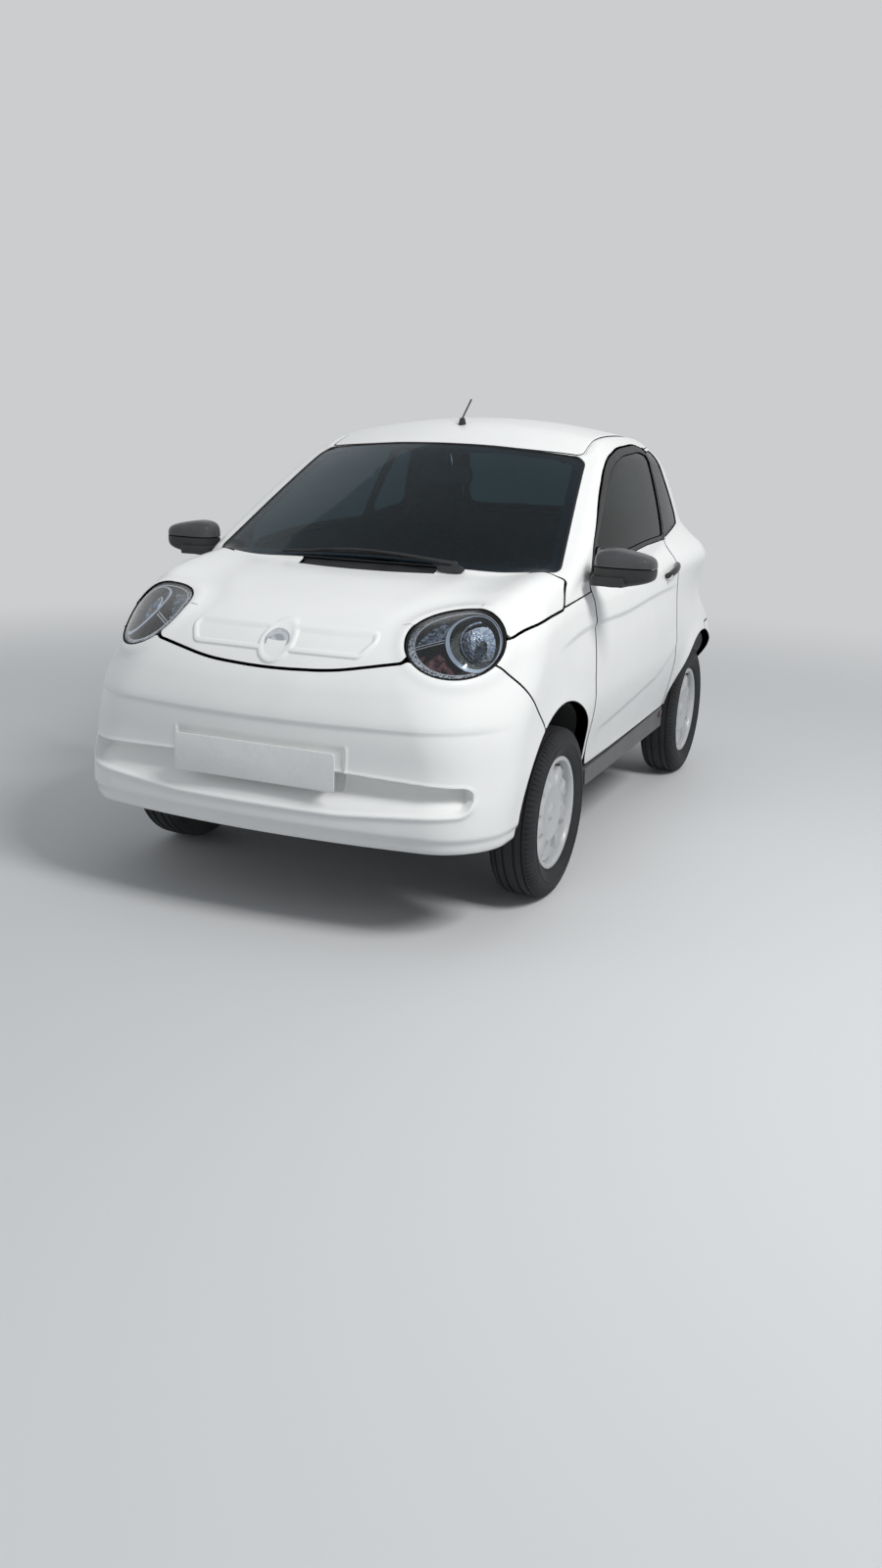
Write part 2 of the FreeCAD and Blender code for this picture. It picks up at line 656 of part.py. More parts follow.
def build_bumper():
    aim = aim_plan(-560)
    plate = skin(aim, spread(-166, -14, 22), spread(UNDERSIDE_Z + 12, 812, 12), 0.0, BUMPER_THICKNESS)
    bumper = plate.common(prism(BUMPER_OUTLINE, "xz", -1500, -500))
    bumper = bumper.common(prism(BUMPER_SIDE, "yz", -900, 900))
    tools = [arch_cut(FRONT_AXLE_Y), mirrored(arch_cut(FRONT_AXLE_Y)), lamp_prism(2.0, -300, 200),
             mirrored(lamp_prism(2.0, -300, 200))]
    tools.append(prism(BONNET_CUT, "xy", 700, 1000))
    backing = skin(aim, spread(-156, -24, 20), spread(350, 500, 7), BUMPER_THICKNESS - 10,
                   SLOT_DEPTH + SLOT_WALL)
    backing = backing.common(prism(grow(SLOT_OUTLINE, SLOT_WALL), "xz", -1500, -1000))
    pocket = skin(aim, spread(-156, -24, 20), spread(350, 500, 11), -40.0, slot_depth)
    pocket = pocket.common(prism(SLOT_OUTLINE, "xz", -1500, -1000))
    carrier = skin(aim, spread(-130, -50, 12), spread(410, 560, 6), -40.0, CARRIER_DEPTH)
    carrier = carrier.common(slab(plate_outline(CARRIER_MARGIN), "xz", along(-1500), along(-1200)))
    return single(trim(bumper.fuse(backing), tools + [pocket, carrier]))


def slot_depth(_, z):
    """Deep under the upper edge of the slot, nearly flush at its lip."""
    share = ease(z, SLOT_LIP_Z, SLOT_TOP_Z - 25.0)
    return SLOT_LIP_DEPTH + (SLOT_DEPTH - SLOT_LIP_DEPTH) * share


def plate_outline(margin):
    half = PLATE_WIDTH / 2.0 + margin
    low = up(PLATE_Z) - PLATE_HEIGHT / 2.0 - margin
    high = up(PLATE_Z) + PLATE_HEIGHT / 2.0 + margin
    return [(-half, low, 8), (half, low, 8), (half, high, 8), (-half, high, 8)]


# Side view of what the bonnet's edge leaves free along the wings (y, z)
BONNET_UNDERCUT = [(-1100, 808, 0), (-1030, 822, 0), (-944, 841, 0), (-829, 859, 0), (-726, 864, 0),
                   (-663, 890, 0), (-600, 926, 0), (-560, 926, 0), (-560, 700, 0), (-1100, 700, 0)]


# Raised band across the bonnet's front (x, z, corner radius) and the round boss in its middle
BAND_OUTLINE = [(-318, 850, 22), (318, 850, 22), (268, 782, 26), (-268, 782, 26)]
BAND_WIDTH = 14.0
BAND_HEIGHT = 3.5
BADGE_PLACE = (0, 807)
BOSS_RADIUS = 56.0
BADGE_RADIUS = 38.0
BADGE_HEIGHT = 5.0


def disc(radius):
    centre = place((BADGE_PLACE[0], -1400, BADGE_PLACE[1]))
    return Part.makeCylinder(radius, 400, centre, Vector(0, 1, 0))


def build_bonnet():
    plate = skin(aim_ball(-740, 330), spread(-53, 53, 17), spread(-66, 18, 14), 0.0, BONNET_THICKNESS)
    tools = [lamp_prism(PANEL_GAP, -300, 200), prism(BONNET_UNDERCUT, "yz", 590, 800)]
    tools += [mirrored(tool) for tool in tools]
    bonnet = single(trim(plate.common(prism(BONNET_OUTLINE, "xy", 500, 1200)), tools))
    raised = skin(aim_plan(-560), spread(-125, -55, 14), spread(740, 880, 8), -BAND_HEIGHT, 6.0)
    inside = grow(BAND_OUTLINE, -BAND_WIDTH)
    band = prism(BAND_OUTLINE, "xz", -1400, -1000).cut(prism(inside, "xz", -1400, -1000))
    band = raised.common(band.fuse(disc(BOSS_RADIUS)))
    badge = skin(aim_plan(-560), spread(-110, -70, 8), spread(760, 860, 5), -BAND_HEIGHT - BADGE_HEIGHT, 6.0)
    badge = badge.common(disc(BADGE_RADIUS))
    return single(fuse([bonnet] + band.Solids + [badge]))


def build_roof():
    plate = skin(aim_up, spread(-500, 500, 11), spread(-110, 985, 13), 0.0, ROOF_THICKNESS)
    return single(plate.common(roof_cut(0.0)).cut(screen_prism(SEAT_GAP, -160, 80)))


def build_screen():
    pane = skin(aim_screen, spread(-640, 640, 13), spread(-340, 430, 10), 2.0, 8.0)
    return single(pane.common(screen_prism(0.0, -200, 100)))


COWL_HALF_WIDTH = 560.0


def build_cowl():
    plate = skin(aim_screen, spread(-640, 640, 13), spread(-420, -200, 6), 8.0, 30.0)
    keep = prism([(-640, -610, 0), (-400, -700, 300), (0, -760, 3000), (400, -700, 300), (640, -610, 0),
                  (640, -560, 0), (-640, -560, 0)], "xy", 700, 1100)
    cowl = plate.common(keep).common(box(-COWL_HALF_WIDTH, COWL_HALF_WIDTH, -800, -400, 800, 1100))
    return single(trim(cowl, [screen_prism(SEAT_GAP, -200, 100), prism(BONNET_CUT, "xy", 500, 1500)]))


def build_headlamps():
    block = skin(lamp_aim, spread(-44, 84, 9), spread(4, 74, 9), 0.0, 90.0)
    return single(block.common(lamp_prism(0.0, -300, 200)))


def lamp_aim(sideways, upwards):
    side_cos, side_sin = turn(sideways)
    up_cos, up_sin = turn(upwards)
    return Vector(300, -900, 620), Vector(side_sin, -side_cos * up_cos, side_cos * up_sin)


def build_tailgate():
    plate = skin(aim_back, spread(-540, 540, 13), spread(620, 1392, 15), 0.0, 34.0)
    gate = plate.common(tailgate_prism(0.0))
    return single(gate.cut(prism(REAR_GLASS, "xz", ROOF_REAR_Y + 45, 1500)))


def build_rear_glass():
    pane = skin(aim_back, spread(-500, 500, 11), spread(1020, 1360, 8), GLASS_DEPTH, GLASS_INSIDE)
    return single(pane.common(prism(grow(REAR_GLASS, -SEAT_GAP), "xz", ROOF_REAR_Y + 45 + SEAT_GAP, 1500)))


def build_rear_bumper():
    plate = skin(aim_plan(700), spread(14, 166, 22), spread(UNDERSIDE_Z + 12, REAR_BUMPER_TOP_Z + 10, 9), 0.0,
                 BUMPER_THICKNESS)
    bumper = plate.common(rear_bumper_prism(0.0))
    return single(trim(bumper, [arch_cut(REAR_AXLE_Y), mirrored(arch_cut(REAR_AXLE_Y))]))


def build_tail_lamp():
    block = skin(aim_plan(820), spread(20, 66, 8), spread(680, 950, 8), 0.0, 60.0)
    return single(block.common(prism(TAIL_LAMP, "xz", 900, 1500)))


# Structure under the panels
FLOOR_Z = 300.0
FLOOR_THICKNESS = 18.0
FLOOR_TOP = FLOOR_Z + FLOOR_THICKNESS
RAIL_X = 300.0
RAIL_WIDTH = 60.0
RAIL_HEIGHT = 50.0
BULKHEAD_Y = -402.0
SHELF_Z = 700.0
BOOT_FLOOR_Z = 540.0
BOOT_HALF_WIDTH = 420.0
SHEET = 14.0
SPINDLE_RADIUS = 20.0
BEARING_GAP = 0.05


def build_chassis():
    rail_bottom = FLOOR_TOP - RAIL_HEIGHT
    parts = [box(-600, 600, BULKHEAD_Y, 650, FLOOR_Z, FLOOR_TOP)]
    for sign in (-1, 1):
        x0 = sign * RAIL_X - RAIL_WIDTH / 2
        x1 = sign * RAIL_X + RAIL_WIDTH / 2
        parts.append(box(x0, x1, -1200, 700, rail_bottom, FLOOR_TOP))
        parts.append(box(x0, x1, 640, 700, rail_bottom, BOOT_FLOOR_Z))
        parts.append(box(x0, x1, 640, 1290, BOOT_FLOOR_Z - RAIL_HEIGHT, BOOT_FLOOR_Z))
        parts.append(box(x0, x1, -1200, -1150, rail_bottom, 560))
        beam = sorted((sign * 590, sign * 640))
        parts.append(box(beam[0], beam[1], -340, 645, rail_bottom, FLOOR_TOP))
        tower = sorted((sign * 300, sign * 600))
        parts.append(box(tower[0], tower[1], -800, -640, SHELF_Z, SHELF_Z + SHEET))
        stay = sorted((sign * 300, sign * 330))
        parts.append(box(stay[0], stay[1], -800, -664, FLOOR_TOP, SHELF_Z))
        post = sorted((sign * 556, sign * 600))
        parts.append(box(post[0], post[1], BULKHEAD_Y, -362, FLOOR_TOP, 900))
        wide = sorted((sign * 600, sign * 640))
        parts.append(box(wide[0], wide[1], BULKHEAD_Y, -362, 590, 880))
    parts += [
        box(-330, 330, -1200, -1150, 500, 560),
        box(-600, 600, BULKHEAD_Y, BULKHEAD_Y + SHEET, FLOOR_TOP, SHELF_Z),
        box(-600, 600, -640, BULKHEAD_Y + SHEET, SHELF_Z, SHELF_Z + SHEET),
        box(-600, 600, -640, -626, SHELF_Z, 880),
        box(-600, 600, 640, 650, FLOOR_Z, BOOT_FLOOR_Z),
        box(-BOOT_HALF_WIDTH, BOOT_HALF_WIDTH, 640, 1270, BOOT_FLOOR_Z, BOOT_FLOOR_Z + SHEET),
    ]
    return fuse(parts)


# Suspension: heights and half widths at the car's own wheels
ARM_Z = 190.0
ARM_THICKNESS = 18.0
STRUT_FOOT_Z = 548.0
STRUT_RADIUS = 13.0
COIL_COUNT = 5
COIL_PITCH = 26.0
COIL_RADIUS = 44.0
SPINDLE_END = 18.0
DRUM_SIDE = 46.0


def build_front_suspension():
    rail_bottom = up(FLOOR_TOP - RAIL_HEIGHT) - SEAT_GAP
    side = across(RAIL_X + RAIL_WIDTH / 2)
    beam = block(-side, side, FRONT_AXLE_Y - 30, FRONT_AXLE_Y + 30, ARM_Z, rail_bottom)
    tip = KINGPIN_X + 20
    arm = [(side - 10, FRONT_AXLE_Y - 110, 10), (tip, FRONT_AXLE_Y - 20, 18), (tip, FRONT_AXLE_Y + 20, 18),
           (side - 10, FRONT_AXLE_Y + 110, 10), (side - 60, FRONT_AXLE_Y, 0)]
    plate = slab(arm, "xy", ARM_Z, ARM_Z + ARM_THICKNESS)
    lower = fuse([beam, plate, mirrored(plate)])
    strut = rod((KINGPIN_X, FRONT_AXLE_Y, STRUT_FOOT_Z), (KINGPIN_X, FRONT_AXLE_Y, up(SHELF_Z) - SEAT_GAP),
                STRUT_RADIUS)
    start = STRUT_FOOT_Z + 8
    profile = [(STRUT_RADIUS - 1, start)]
    for turn_index in range(COIL_COUNT):
        z = start + COIL_PITCH * turn_index
        profile += [(COIL_RADIUS, z + 6), (COIL_RADIUS - 10, z + 19)]
    top = start + COIL_PITCH * COIL_COUNT + 4
    profile += [(COIL_RADIUS, top), (STRUT_RADIUS - 1, top)]
    face = Part.Face(Part.makePolygon([Vector(x, 0, z) for x, z in profile + profile[:1]]))
    spring = face.revolve(Vector(0, 0, 0), Vector(0, 0, 1), 360)
    spring.translate(Vector(KINGPIN_X, FRONT_AXLE_Y, 0))
    strut = strut.fuse(spring)
    return Part.makeCompound([lower, strut, mirrored(strut)])


# Trailing arm of the rear axle: place and size
TRAIL_X = 356.0
TRAIL_WIDTH = 40.0
TRAIL_PIVOT_Y = 670.0
REAR_SPRING_X = 440.0
REAR_SPRING_RADIUS = 38.0


def build_rear_suspension():
    hub = WHEEL_X - DRUM_SIDE
    parts = [rod((-hub, REAR_AXLE_Y, HUB_Z), (hub, REAR_AXLE_Y, HUB_Z), 26)]
    pivot_y = along(TRAIL_PIVOT_Y)
    boot_floor = up(BOOT_FLOOR_Z) - SEAT_GAP
    for sign in (-1, 1):
        middle = sign * across(TRAIL_X)
        inner = middle - TRAIL_WIDTH / 2
        outer = middle + TRAIL_WIDTH / 2
        spring_x = sign * across(REAR_SPRING_X)
        pin_start = sign * (across(RAIL_X + RAIL_WIDTH / 2) + SEAT_GAP)
        parts.append(block(inner, outer, pivot_y + 20, REAR_AXLE_Y, HUB_Z - 16.6, HUB_Z + 17.4))
        parts.append(block(inner, outer, pivot_y - 10, pivot_y + 50, HUB_Z - 4.6, HUB_Z + 33.4))
        parts.append(rod((pin_start, pivot_y, HUB_Z + 23.4), (middle, pivot_y, HUB_Z + 23.4), 16))
        parts.append(rod((spring_x, REAR_AXLE_Y, HUB_Z + 15), (spring_x, REAR_AXLE_Y, boot_floor),
                         REAR_SPRING_RADIUS))
        for start, end, radius in ((hub - 26, hub + 2, 60), (hub, WHEEL_X + SPINDLE_END, SPINDLE_RADIUS)):
            parts.append(rod((sign * start, REAR_AXLE_Y, HUB_Z), (sign * end, REAR_AXLE_Y, HUB_Z), radius))
    return fuse(parts)


def build_knuckle():
    hub = WHEEL_X - DRUM_SIDE
    post = rod((KINGPIN_X, FRONT_AXLE_Y, ARM_Z + ARM_THICKNESS + SEAT_GAP),
               (KINGPIN_X, FRONT_AXLE_Y, STRUT_FOOT_Z - SEAT_GAP), 15)
    carrier = rod((KINGPIN_X - 12, FRONT_AXLE_Y, HUB_Z), (hub + 2, FRONT_AXLE_Y, HUB_Z), 46)
    backing = rod((hub - 2, FRONT_AXLE_Y, HUB_Z), (hub + 2, FRONT_AXLE_Y, HUB_Z), 108)
    spindle = rod((hub, FRONT_AXLE_Y, HUB_Z), (WHEEL_X + SPINDLE_END, FRONT_AXLE_Y, HUB_Z), SPINDLE_RADIUS)
    arm = block(KINGPIN_X - 24, KINGPIN_X + 4, FRONT_AXLE_Y, FRONT_AXLE_Y + 130, HUB_Z - 26.6, HUB_Z - 10.6)
    return fuse([post, carrier, backing, spindle, arm])


def build_tyre(side, axle_y):
    half = TYRE_WIDTH / 2.0
    bead = RIM_SEAT_RADIUS + SEAT_GAP
    seat = RIM_WIDTH / 2.0 - 6.0 - SEAT_GAP
    profile = [(bead, seat), (RIM_FLANGE_RADIUS, seat), (196, half - 3), (222, half), (246, half - 6),
               (TYRE_RADIUS, half - 24), (TYRE_RADIUS, 24 - half), (246, 6 - half), (222, -half),
               (196, 3 - half), (RIM_FLANGE_RADIUS, -seat), (bead, -seat)]
    points = [Vector(x, 0, radius) for radius, x in profile]
    face = Part.Face(Part.makePolygon(points + points[:1]))
    tyre = face.revolve(Vector(0, 0, 0), Vector(1, 0, 0), 360)
    tyre.translate(Vector(side * WHEEL_X, axle_y, HUB_Z))
    return tyre


def build_rim(side, axle_y):
    half = RIM_WIDTH / 2.0
    face_x = half - 6.0
    profile = [(RIM_SEAT_RADIUS, 6 - half), (RIM_FLANGE_RADIUS - 2, 4 - half), (RIM_FLANGE_RADIUS - 2, -half),
               (RIM_SEAT_RADIUS - 6, -half), (RIM_SEAT_RADIUS - 20, 24 - half), (RIM_SEAT_RADIUS - 20, half - 40),
               (128, face_x - 28), (98, face_x - 14), (80, face_x - 18), (44, face_x - 30), (44, -28),
               (SPINDLE_RADIUS + BEARING_GAP, -28), (SPINDLE_RADIUS + BEARING_GAP, face_x - 22),
               (60, face_x - 22), (78, face_x - 10), (98, face_x - 6), (132, face_x - 20),
               (RIM_SEAT_RADIUS - 12, half - 26), (RIM_SEAT_RADIUS - 6, half), (RIM_FLANGE_RADIUS - 2, half),
               (RIM_FLANGE_RADIUS - 2, half - 4), (RIM_SEAT_RADIUS, half - 6)]
    points = [Vector(x, 0, radius) for radius, x in profile]
    face = Part.Face(Part.makePolygon(points + points[:1]))
    rim = face.revolve(Vector(0, 0, 0), Vector(1, 0, 0), 360)
    outline = [(-WINDOW_WIDTH / 2, WINDOW_INNER), (WINDOW_WIDTH / 2, WINDOW_INNER),
               (WINDOW_WIDTH / 2 + 3, WINDOW_OUTER), (-WINDOW_WIDTH / 2 - 3, WINDOW_OUTER)]
    window = slab(outline, "yz", half - 50, half + 10, WINDOW_WIDTH / 2 - 1)
    for index in range(RIM_WINDOW_COUNT):
        turned = window.copy()
        turned.rotate(Vector(0, 0, 0), Vector(1, 0, 0), 360.0 * index / RIM_WINDOW_COUNT)
        rim = rim.cut(turned)
    drum = pipe((-36, 0, 0), (-28 + 52, 0, 0), 106, 98)
    web = pipe((-28 + 44, 0, 0), (-28 + 52, 0, 0), 100, 40)
    rim = rim.fuse(drum.fuse(web))
    cap = rod((face_x - 22, 0, 0), (face_x - 8, 0, 0), 26)
    rim = rim.fuse(cap)
    if side < 0:
        rim = mirrored(rim)
    rim.translate(Vector(side * WHEEL_X, axle_y, HUB_Z))
    return rim


def passage_hole(x, axle_y, radius):
    return rod((x, axle_y, HUB_Z), (x, axle_y, HUB_Z + 440), radius + 8)


def build_liners():
    front_skin = skin(wing_aim, spread(-1110, -380, 10), spread(-56, 40, 8), -60.0, BUMPER_THICKNESS + 8.0)
    rear_skin = skin(aim_side, spread(600, 1180, 8), spread(-46, 0, 6), -60.0, 62.0)
    solids = []
    for axle_y, from_degrees, to_degrees, inner_x, outside, passage in (
            (FRONT_AXLE_Y, 23, 176, across(402), front_skin, passage_hole(KINGPIN_X, FRONT_AXLE_Y, COIL_RADIUS)),
            (REAR_AXLE_Y, 70, 168.5, across(423), rear_skin,
             passage_hole(across(REAR_SPRING_X), REAR_AXLE_Y, REAR_SPRING_RADIUS))):
        drum = Part.makeCylinder(ARCH_RADIUS + 4, 300, Vector(inner_x, axle_y, HUB_Z), Vector(1, 0, 0))
        hollow = Part.makeCylinder(ARCH_RADIUS + 1, 300, Vector(inner_x + 3, axle_y, HUB_Z), Vector(1, 0, 0))
        first = turn(from_degrees)
        last = turn(to_degrees)
        wedge = [(axle_y + 70, HUB_Z + 70), (axle_y + 600 * first[0], HUB_Z + 600 * first[1]),
                 (axle_y + 600, HUB_Z + 700), (axle_y - 600, HUB_Z + 700),
                 (axle_y + 600 * last[0], HUB_Z + 600 * last[1]), (axle_y - 70, HUB_Z + 70)]
        liner = drum.cut(hollow).common(slab(wedge, "yz", inner_x - 22, inner_x + 340))
        liner = single(trim(liner, [outside, passage]))
        solids += [liner, mirrored(liner)]
    return Part.makeCompound(solids)


def build_engine():
    cylinders = box(-250, 250, -1100, -850, 330, 640)
    gearbox = box(-200, 200, -850, -780, 330, 560)
    lugs = [box(x - 20, x + 60, -1010, -970, FLOOR_TOP + SEAT_GAP, 345) for x in (-290, 250)]
    return fuse([cylinders, gearbox] + lugs)


PIPE_RADIUS = 18.0
MUFFLER_RADIUS = 68.0


def build_exhaust():
    points = [(-150, -779, 300), (-150, -680, 300), (-150, -560, 262), (-150, 690, 262), (-150, 800, 330),
              (-150, 900, 400), (-150, 1070, 400)]
    route = [place(point) for point in points]
    parts = [rod(a, b, PIPE_RADIUS) for a, b in zip(route, route[1:])]
    parts += [Part.makeSphere(PIPE_RADIUS, point) for point in route[1:-1]]
    parts.append(rod(place((-240, 1130, 400)), place((220, 1130, 400)), MUFFLER_RADIUS))
    parts.append(rod(place((150, 1130, 360)), place((150, 1330, 330)), PIPE_RADIUS - 1))
    return fuse(parts)


WHEEL_TILT = 28.0
STEERING_CENTRE = place((300, -110, 800))
STEERING_AXIS = Vector(0, turn(WHEEL_TILT)[0], turn(WHEEL_TILT)[1])


def build_dashboard():
    profile = [(-598, SHELF_Z + SHEET + SEAT_GAP, 0), (-598, 850, 30), (-480, 884, 60), (-340, 872, 40),
               (-292, 815, 50), (-318, 640, 20), (BULKHEAD_Y + SHEET + SEAT_GAP, 640, 0),
               (BULKHEAD_Y + SHEET + SEAT_GAP, SHELF_Z + SHEET + SEAT_GAP, 0)]
    board = prism(profile, "yz", -550, 550)
    column = Part.makeCylinder(28, 220, STEERING_CENTRE - STEERING_AXIS * 260, STEERING_AXIS)
    cluster = prism([(-470, 870, 10), (-400, 930, 30), (-350, 925, 20), (-320, 860, 10)], "yz", 190, 410)
    return fuse([board, column, cluster])


def build_steering_wheel():
    ring = Part.makeTorus(172, 13, Vector(0, 0, 0), Vector(0, 0, 1))
    hub = Part.makeCylinder(46, 34, Vector(0, 0, -36))
    spokes = []
    for degrees in (0, 180, 270):
        spoke = box(0, 172, -15, 15, -12, 2)
        spoke.rotate(Vector(0, 0, 0), Vector(0, 0, 1), degrees)
        spokes.append(spoke)
    wheel = fuse([ring, hub] + spokes)
    wheel.rotate(Vector(0, 0, 0), Vector(1, 0, 0), WHEEL_TILT - 90)
    wheel.translate(STEERING_CENTRE)
    return wheel


def build_seat():
    profile = [(60, 430, 40), (60, 520, 50), (300, 500, 60), (430, 520, 40), (520, 1010, 30), (560, 1120, 30),
               (620, 1110, 30), (600, 990, 30), (540, 430, 50)]
    body = prism(profile, "yz", 95, 535)
    shoulder = prism([(95, 400, 0), (95, 960, 110), (205, 1010, 60), (205, 1130, 40), (425, 1130, 40),
                      (425, 1010, 60), (535, 960, 110), (535, 400, 0)], "xz", 0, 700)
    return body.common(shoulder)


def build_seat_base():
    return box(130, 500, 110, 500, FLOOR_TOP + SEAT_GAP, 430 - SEAT_GAP)


def build_plate(bumper):
    face_y = along(PLATE_FACE_Y)
    plate = slab(plate_outline(0.0), "xz", face_y, face_y + PLATE_REACH)
    return single(plate.cut(bumper))


def build_sill():
    outline = [(-372, UNDERSIDE_Z + 2, 6), (648, UNDERSIDE_Z + 2, 6), (642, SILL_TOP_REAR_Z, 6),
               (-378, SILL_TOP_FRONT_Z - 4, 6)]
    return prism(outline, "yz", 640 + SEAT_GAP, 672)


HANDLE_START = (392, 893)
HANDLE_END = (538, 922)
HANDLE_RADIUS = 11.0
HANDLE_STAND = 24.0


def on_side(y, z, stand):
    """Point beside the body at a side-view place, standing off its surface."""
    origin = Vector(250, y, z)
    outwards = Vector(1, 0, 0)
    return place(origin + outwards * reach(origin, outwards)) + outwards * stand


def build_handle():
    start = on_side(*HANDLE_START, HANDLE_STAND)
    end = on_side(*HANDLE_END, HANDLE_STAND)
    run = (end - start).normalize()
    parts = [rod(start, end, HANDLE_RADIUS)] + [Part.makeSphere(HANDLE_RADIUS, tip) for tip in (start, end)]
    for spot in (start + run * 8, end - run * 8):
        parts.append(rod(spot, spot - Vector(HANDLE_STAND + 12, 0, 0), HANDLE_RADIUS - 2))
    skin_cut = skin(aim_side, spread(-500, 700, 13), spread(-48, 34, 9), -SEAT_GAP, DOOR_THICKNESS)
    return single(fuse(parts).cut(skin_cut))


MIRROR_FOOT = [(-430, 948, 4), (-318, 972, 4), (-318, 1050, 10), (-352, 1040, 10)]


# Mirror housing in sections from its front to the glass (y, half width, half height, corner radius)
MIRROR_SECTIONS = [(-532, 44, 16, 14), (-522, 70, 32, 26), (-498, 84, 42, 34), (-460, 88, 46, 30),
                   (-448, 86, 44, 28)]
MIRROR_CENTRE = (792, -448, 972)


def build_mirror():
    centre = place(MIRROR_CENTRE)
    wires = []
    for y, half_x, half_z, radius in MIRROR_SECTIONS:
        ring = corners([(-half_x, -half_z), (half_x, -half_z), (half_x, half_z), (-half_x, half_z)], radius)
        ring.rotate(Vector(0, 0, 0), Vector(1, 0, 0), 90)
        ring.translate(centre + Vector(0, y - MIRROR_CENTRE[1], 0))
        wires.append(ring)
    housing = Part.makeLoft(wires, True)
    glass = slab([(-76, -36, 24), (76, -36, 24), (76, 36, 24), (-76, 36, 24)], "xz", -4, 8)
    glass.translate(centre)
    arm = prism([(640, -400), (730, -470), (770, -500), (785, -462), (640, -364)], "xy", 951, 969)
    inside = skin(aim_side, spread(-560, -260, 6), spread(10, 40, 6), -7.0, 120.0)
    foot = skin(aim_side, spread(-500, 700, 13), spread(18, 76, 9), -8.0, -SEAT_GAP)
    foot = foot.common(prism(MIRROR_FOOT, "yz", 500, 900))
    return single(fuse([housing.cut(glass), arm]).cut(inside).fuse(foot))


def on_screen(x, s, height):
    origin, direction = aim_screen(x, s)
    return place(origin + direction * reach(origin, direction)) + direction * height


def build_wiper():
    pivot = on_screen(300, -322, 0)
    boss = Part.makeCylinder(11, 26, pivot + SCREEN_NORMAL * SEAT_GAP, SCREEN_NORMAL)
    arm = rod(pivot + SCREEN_NORMAL * 20, on_screen(-60, -292, 20), 6)
    blade = [rod(on_screen(-60, -292, 12), on_screen(x, -292, 12), 8) for x in (-330, 210)]
    boss = boss.cut(skin(aim_screen, spread(240, 360, 4), spread(-400, -290, 4), -SEAT_GAP, 60.0))
    return single(fuse([boss, arm] + blade))


def roof_z(x, y):
    origin, direction = aim_up(x, y)
    return up(origin.z + reach(origin, direction))


def build_antenna(roof):
    base = Part.makeCone(16, 9, 30, Vector(0, along(72), roof_z(0, 72) - 8))
    base = base.cut(lifted(roof, SEAT_GAP))
    whip = rod((0, along(74), HEIGHT - 4), (0, along(74) + 76, HEIGHT + 60), 3)
    return single(base.fuse(whip))


def build_cabin_mirror(roof):
    y = along(-60)
    top = roof_z(0, -60) - ROOF_THICKNESS
    stem = rod((0, y, top - 75), (0, y, top + 12), 8)
    glass = slab([(-95, top - 125, 20), (95, top - 125, 20), (95, top - 65, 24), (-95, top - 65, 24)],
                 "xz", y - 6, y + 16)
    return single(fuse([glass, stem]).cut(lifted(roof, -SEAT_GAP)))


def wheels():
    table = {}
    for corner, side, axle_y in (("front_left", 1, FRONT_AXLE_Y), ("front_right", -1, FRONT_AXLE_Y),
                                 ("rear_left", 1, REAR_AXLE_Y), ("rear_right", -1, REAR_AXLE_Y)):
        table["tyre_" + corner] = build_tyre(side, axle_y)
        table["rim_" + corner] = build_rim(side, axle_y)
    return table


def all_nodes():
    bumper = build_bumper()
    rear_bumper = build_rear_bumper()
    roof = build_roof()
    nodes = {
        "chassis_frame": build_chassis(), "front_suspension": build_front_suspension(),
        "rear_suspension": build_rear_suspension(), "engine_block": build_engine(), "exhaust": build_exhaust(),
        "wheel_liners": build_liners(), "front_bumper": bumper, "rear_bumper": rear_bumper,
        "front_wings": pair(build_wing()), "side_rails": pair(build_rail()), "rear_quarters": pair(build_quarter()),
        "quarter_glasses": pair(build_quarter_glass()), "roof_panel": roof, "windscreen": build_screen(),
        "cowl": build_cowl(), "bonnet": build_bonnet(), "headlamps": pair(build_headlamps()),
        "tail_lamps": pair(build_tail_lamp()), "tailgate": build_tailgate(), "rear_glass": build_rear_glass(),
        "dashboard": build_dashboard(), "steering_wheel": build_steering_wheel(),
        "seats": pair(build_seat()), "seat_bases": pair(build_seat_base()),
        "number_plates": build_plate(bumper), "sill_trims": pair(build_sill()),
        "wiper": build_wiper(), "antenna": build_antenna(roof), "cabin_mirror": build_cabin_mirror(roof),
    }
    for name, maker in (("knuckle", build_knuckle), ("door", build_door), ("door_frame", build_door_frame),
                        ("door_glass", build_door_glass), ("door_handle", build_handle),
                        ("mirror", build_mirror)):
        shape = maker()
        nodes[name + "_left"] = shape
        nodes[name + "_right"] = mirrored(shape)
    nodes.update(wheels())
    return nodes


if __name__ == "__main__":
    os.makedirs("parts", exist_ok=True)
    for name, shape in all_nodes().items():
        shape.exportStep("parts/" + name + ".step")
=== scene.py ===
import math

import bpy
import numpy as np
from mathutils import Matrix, Vector


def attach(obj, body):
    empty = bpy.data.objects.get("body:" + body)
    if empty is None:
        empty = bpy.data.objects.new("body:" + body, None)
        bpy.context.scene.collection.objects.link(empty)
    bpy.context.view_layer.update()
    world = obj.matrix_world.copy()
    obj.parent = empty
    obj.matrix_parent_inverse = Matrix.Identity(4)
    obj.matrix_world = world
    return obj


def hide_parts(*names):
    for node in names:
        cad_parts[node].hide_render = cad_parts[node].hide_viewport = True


# Looks of a white two-door microcar: panels, glass, lamps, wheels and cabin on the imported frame.
# Body sizes below are in millimetres, as in the part, and become metres in each mesh.

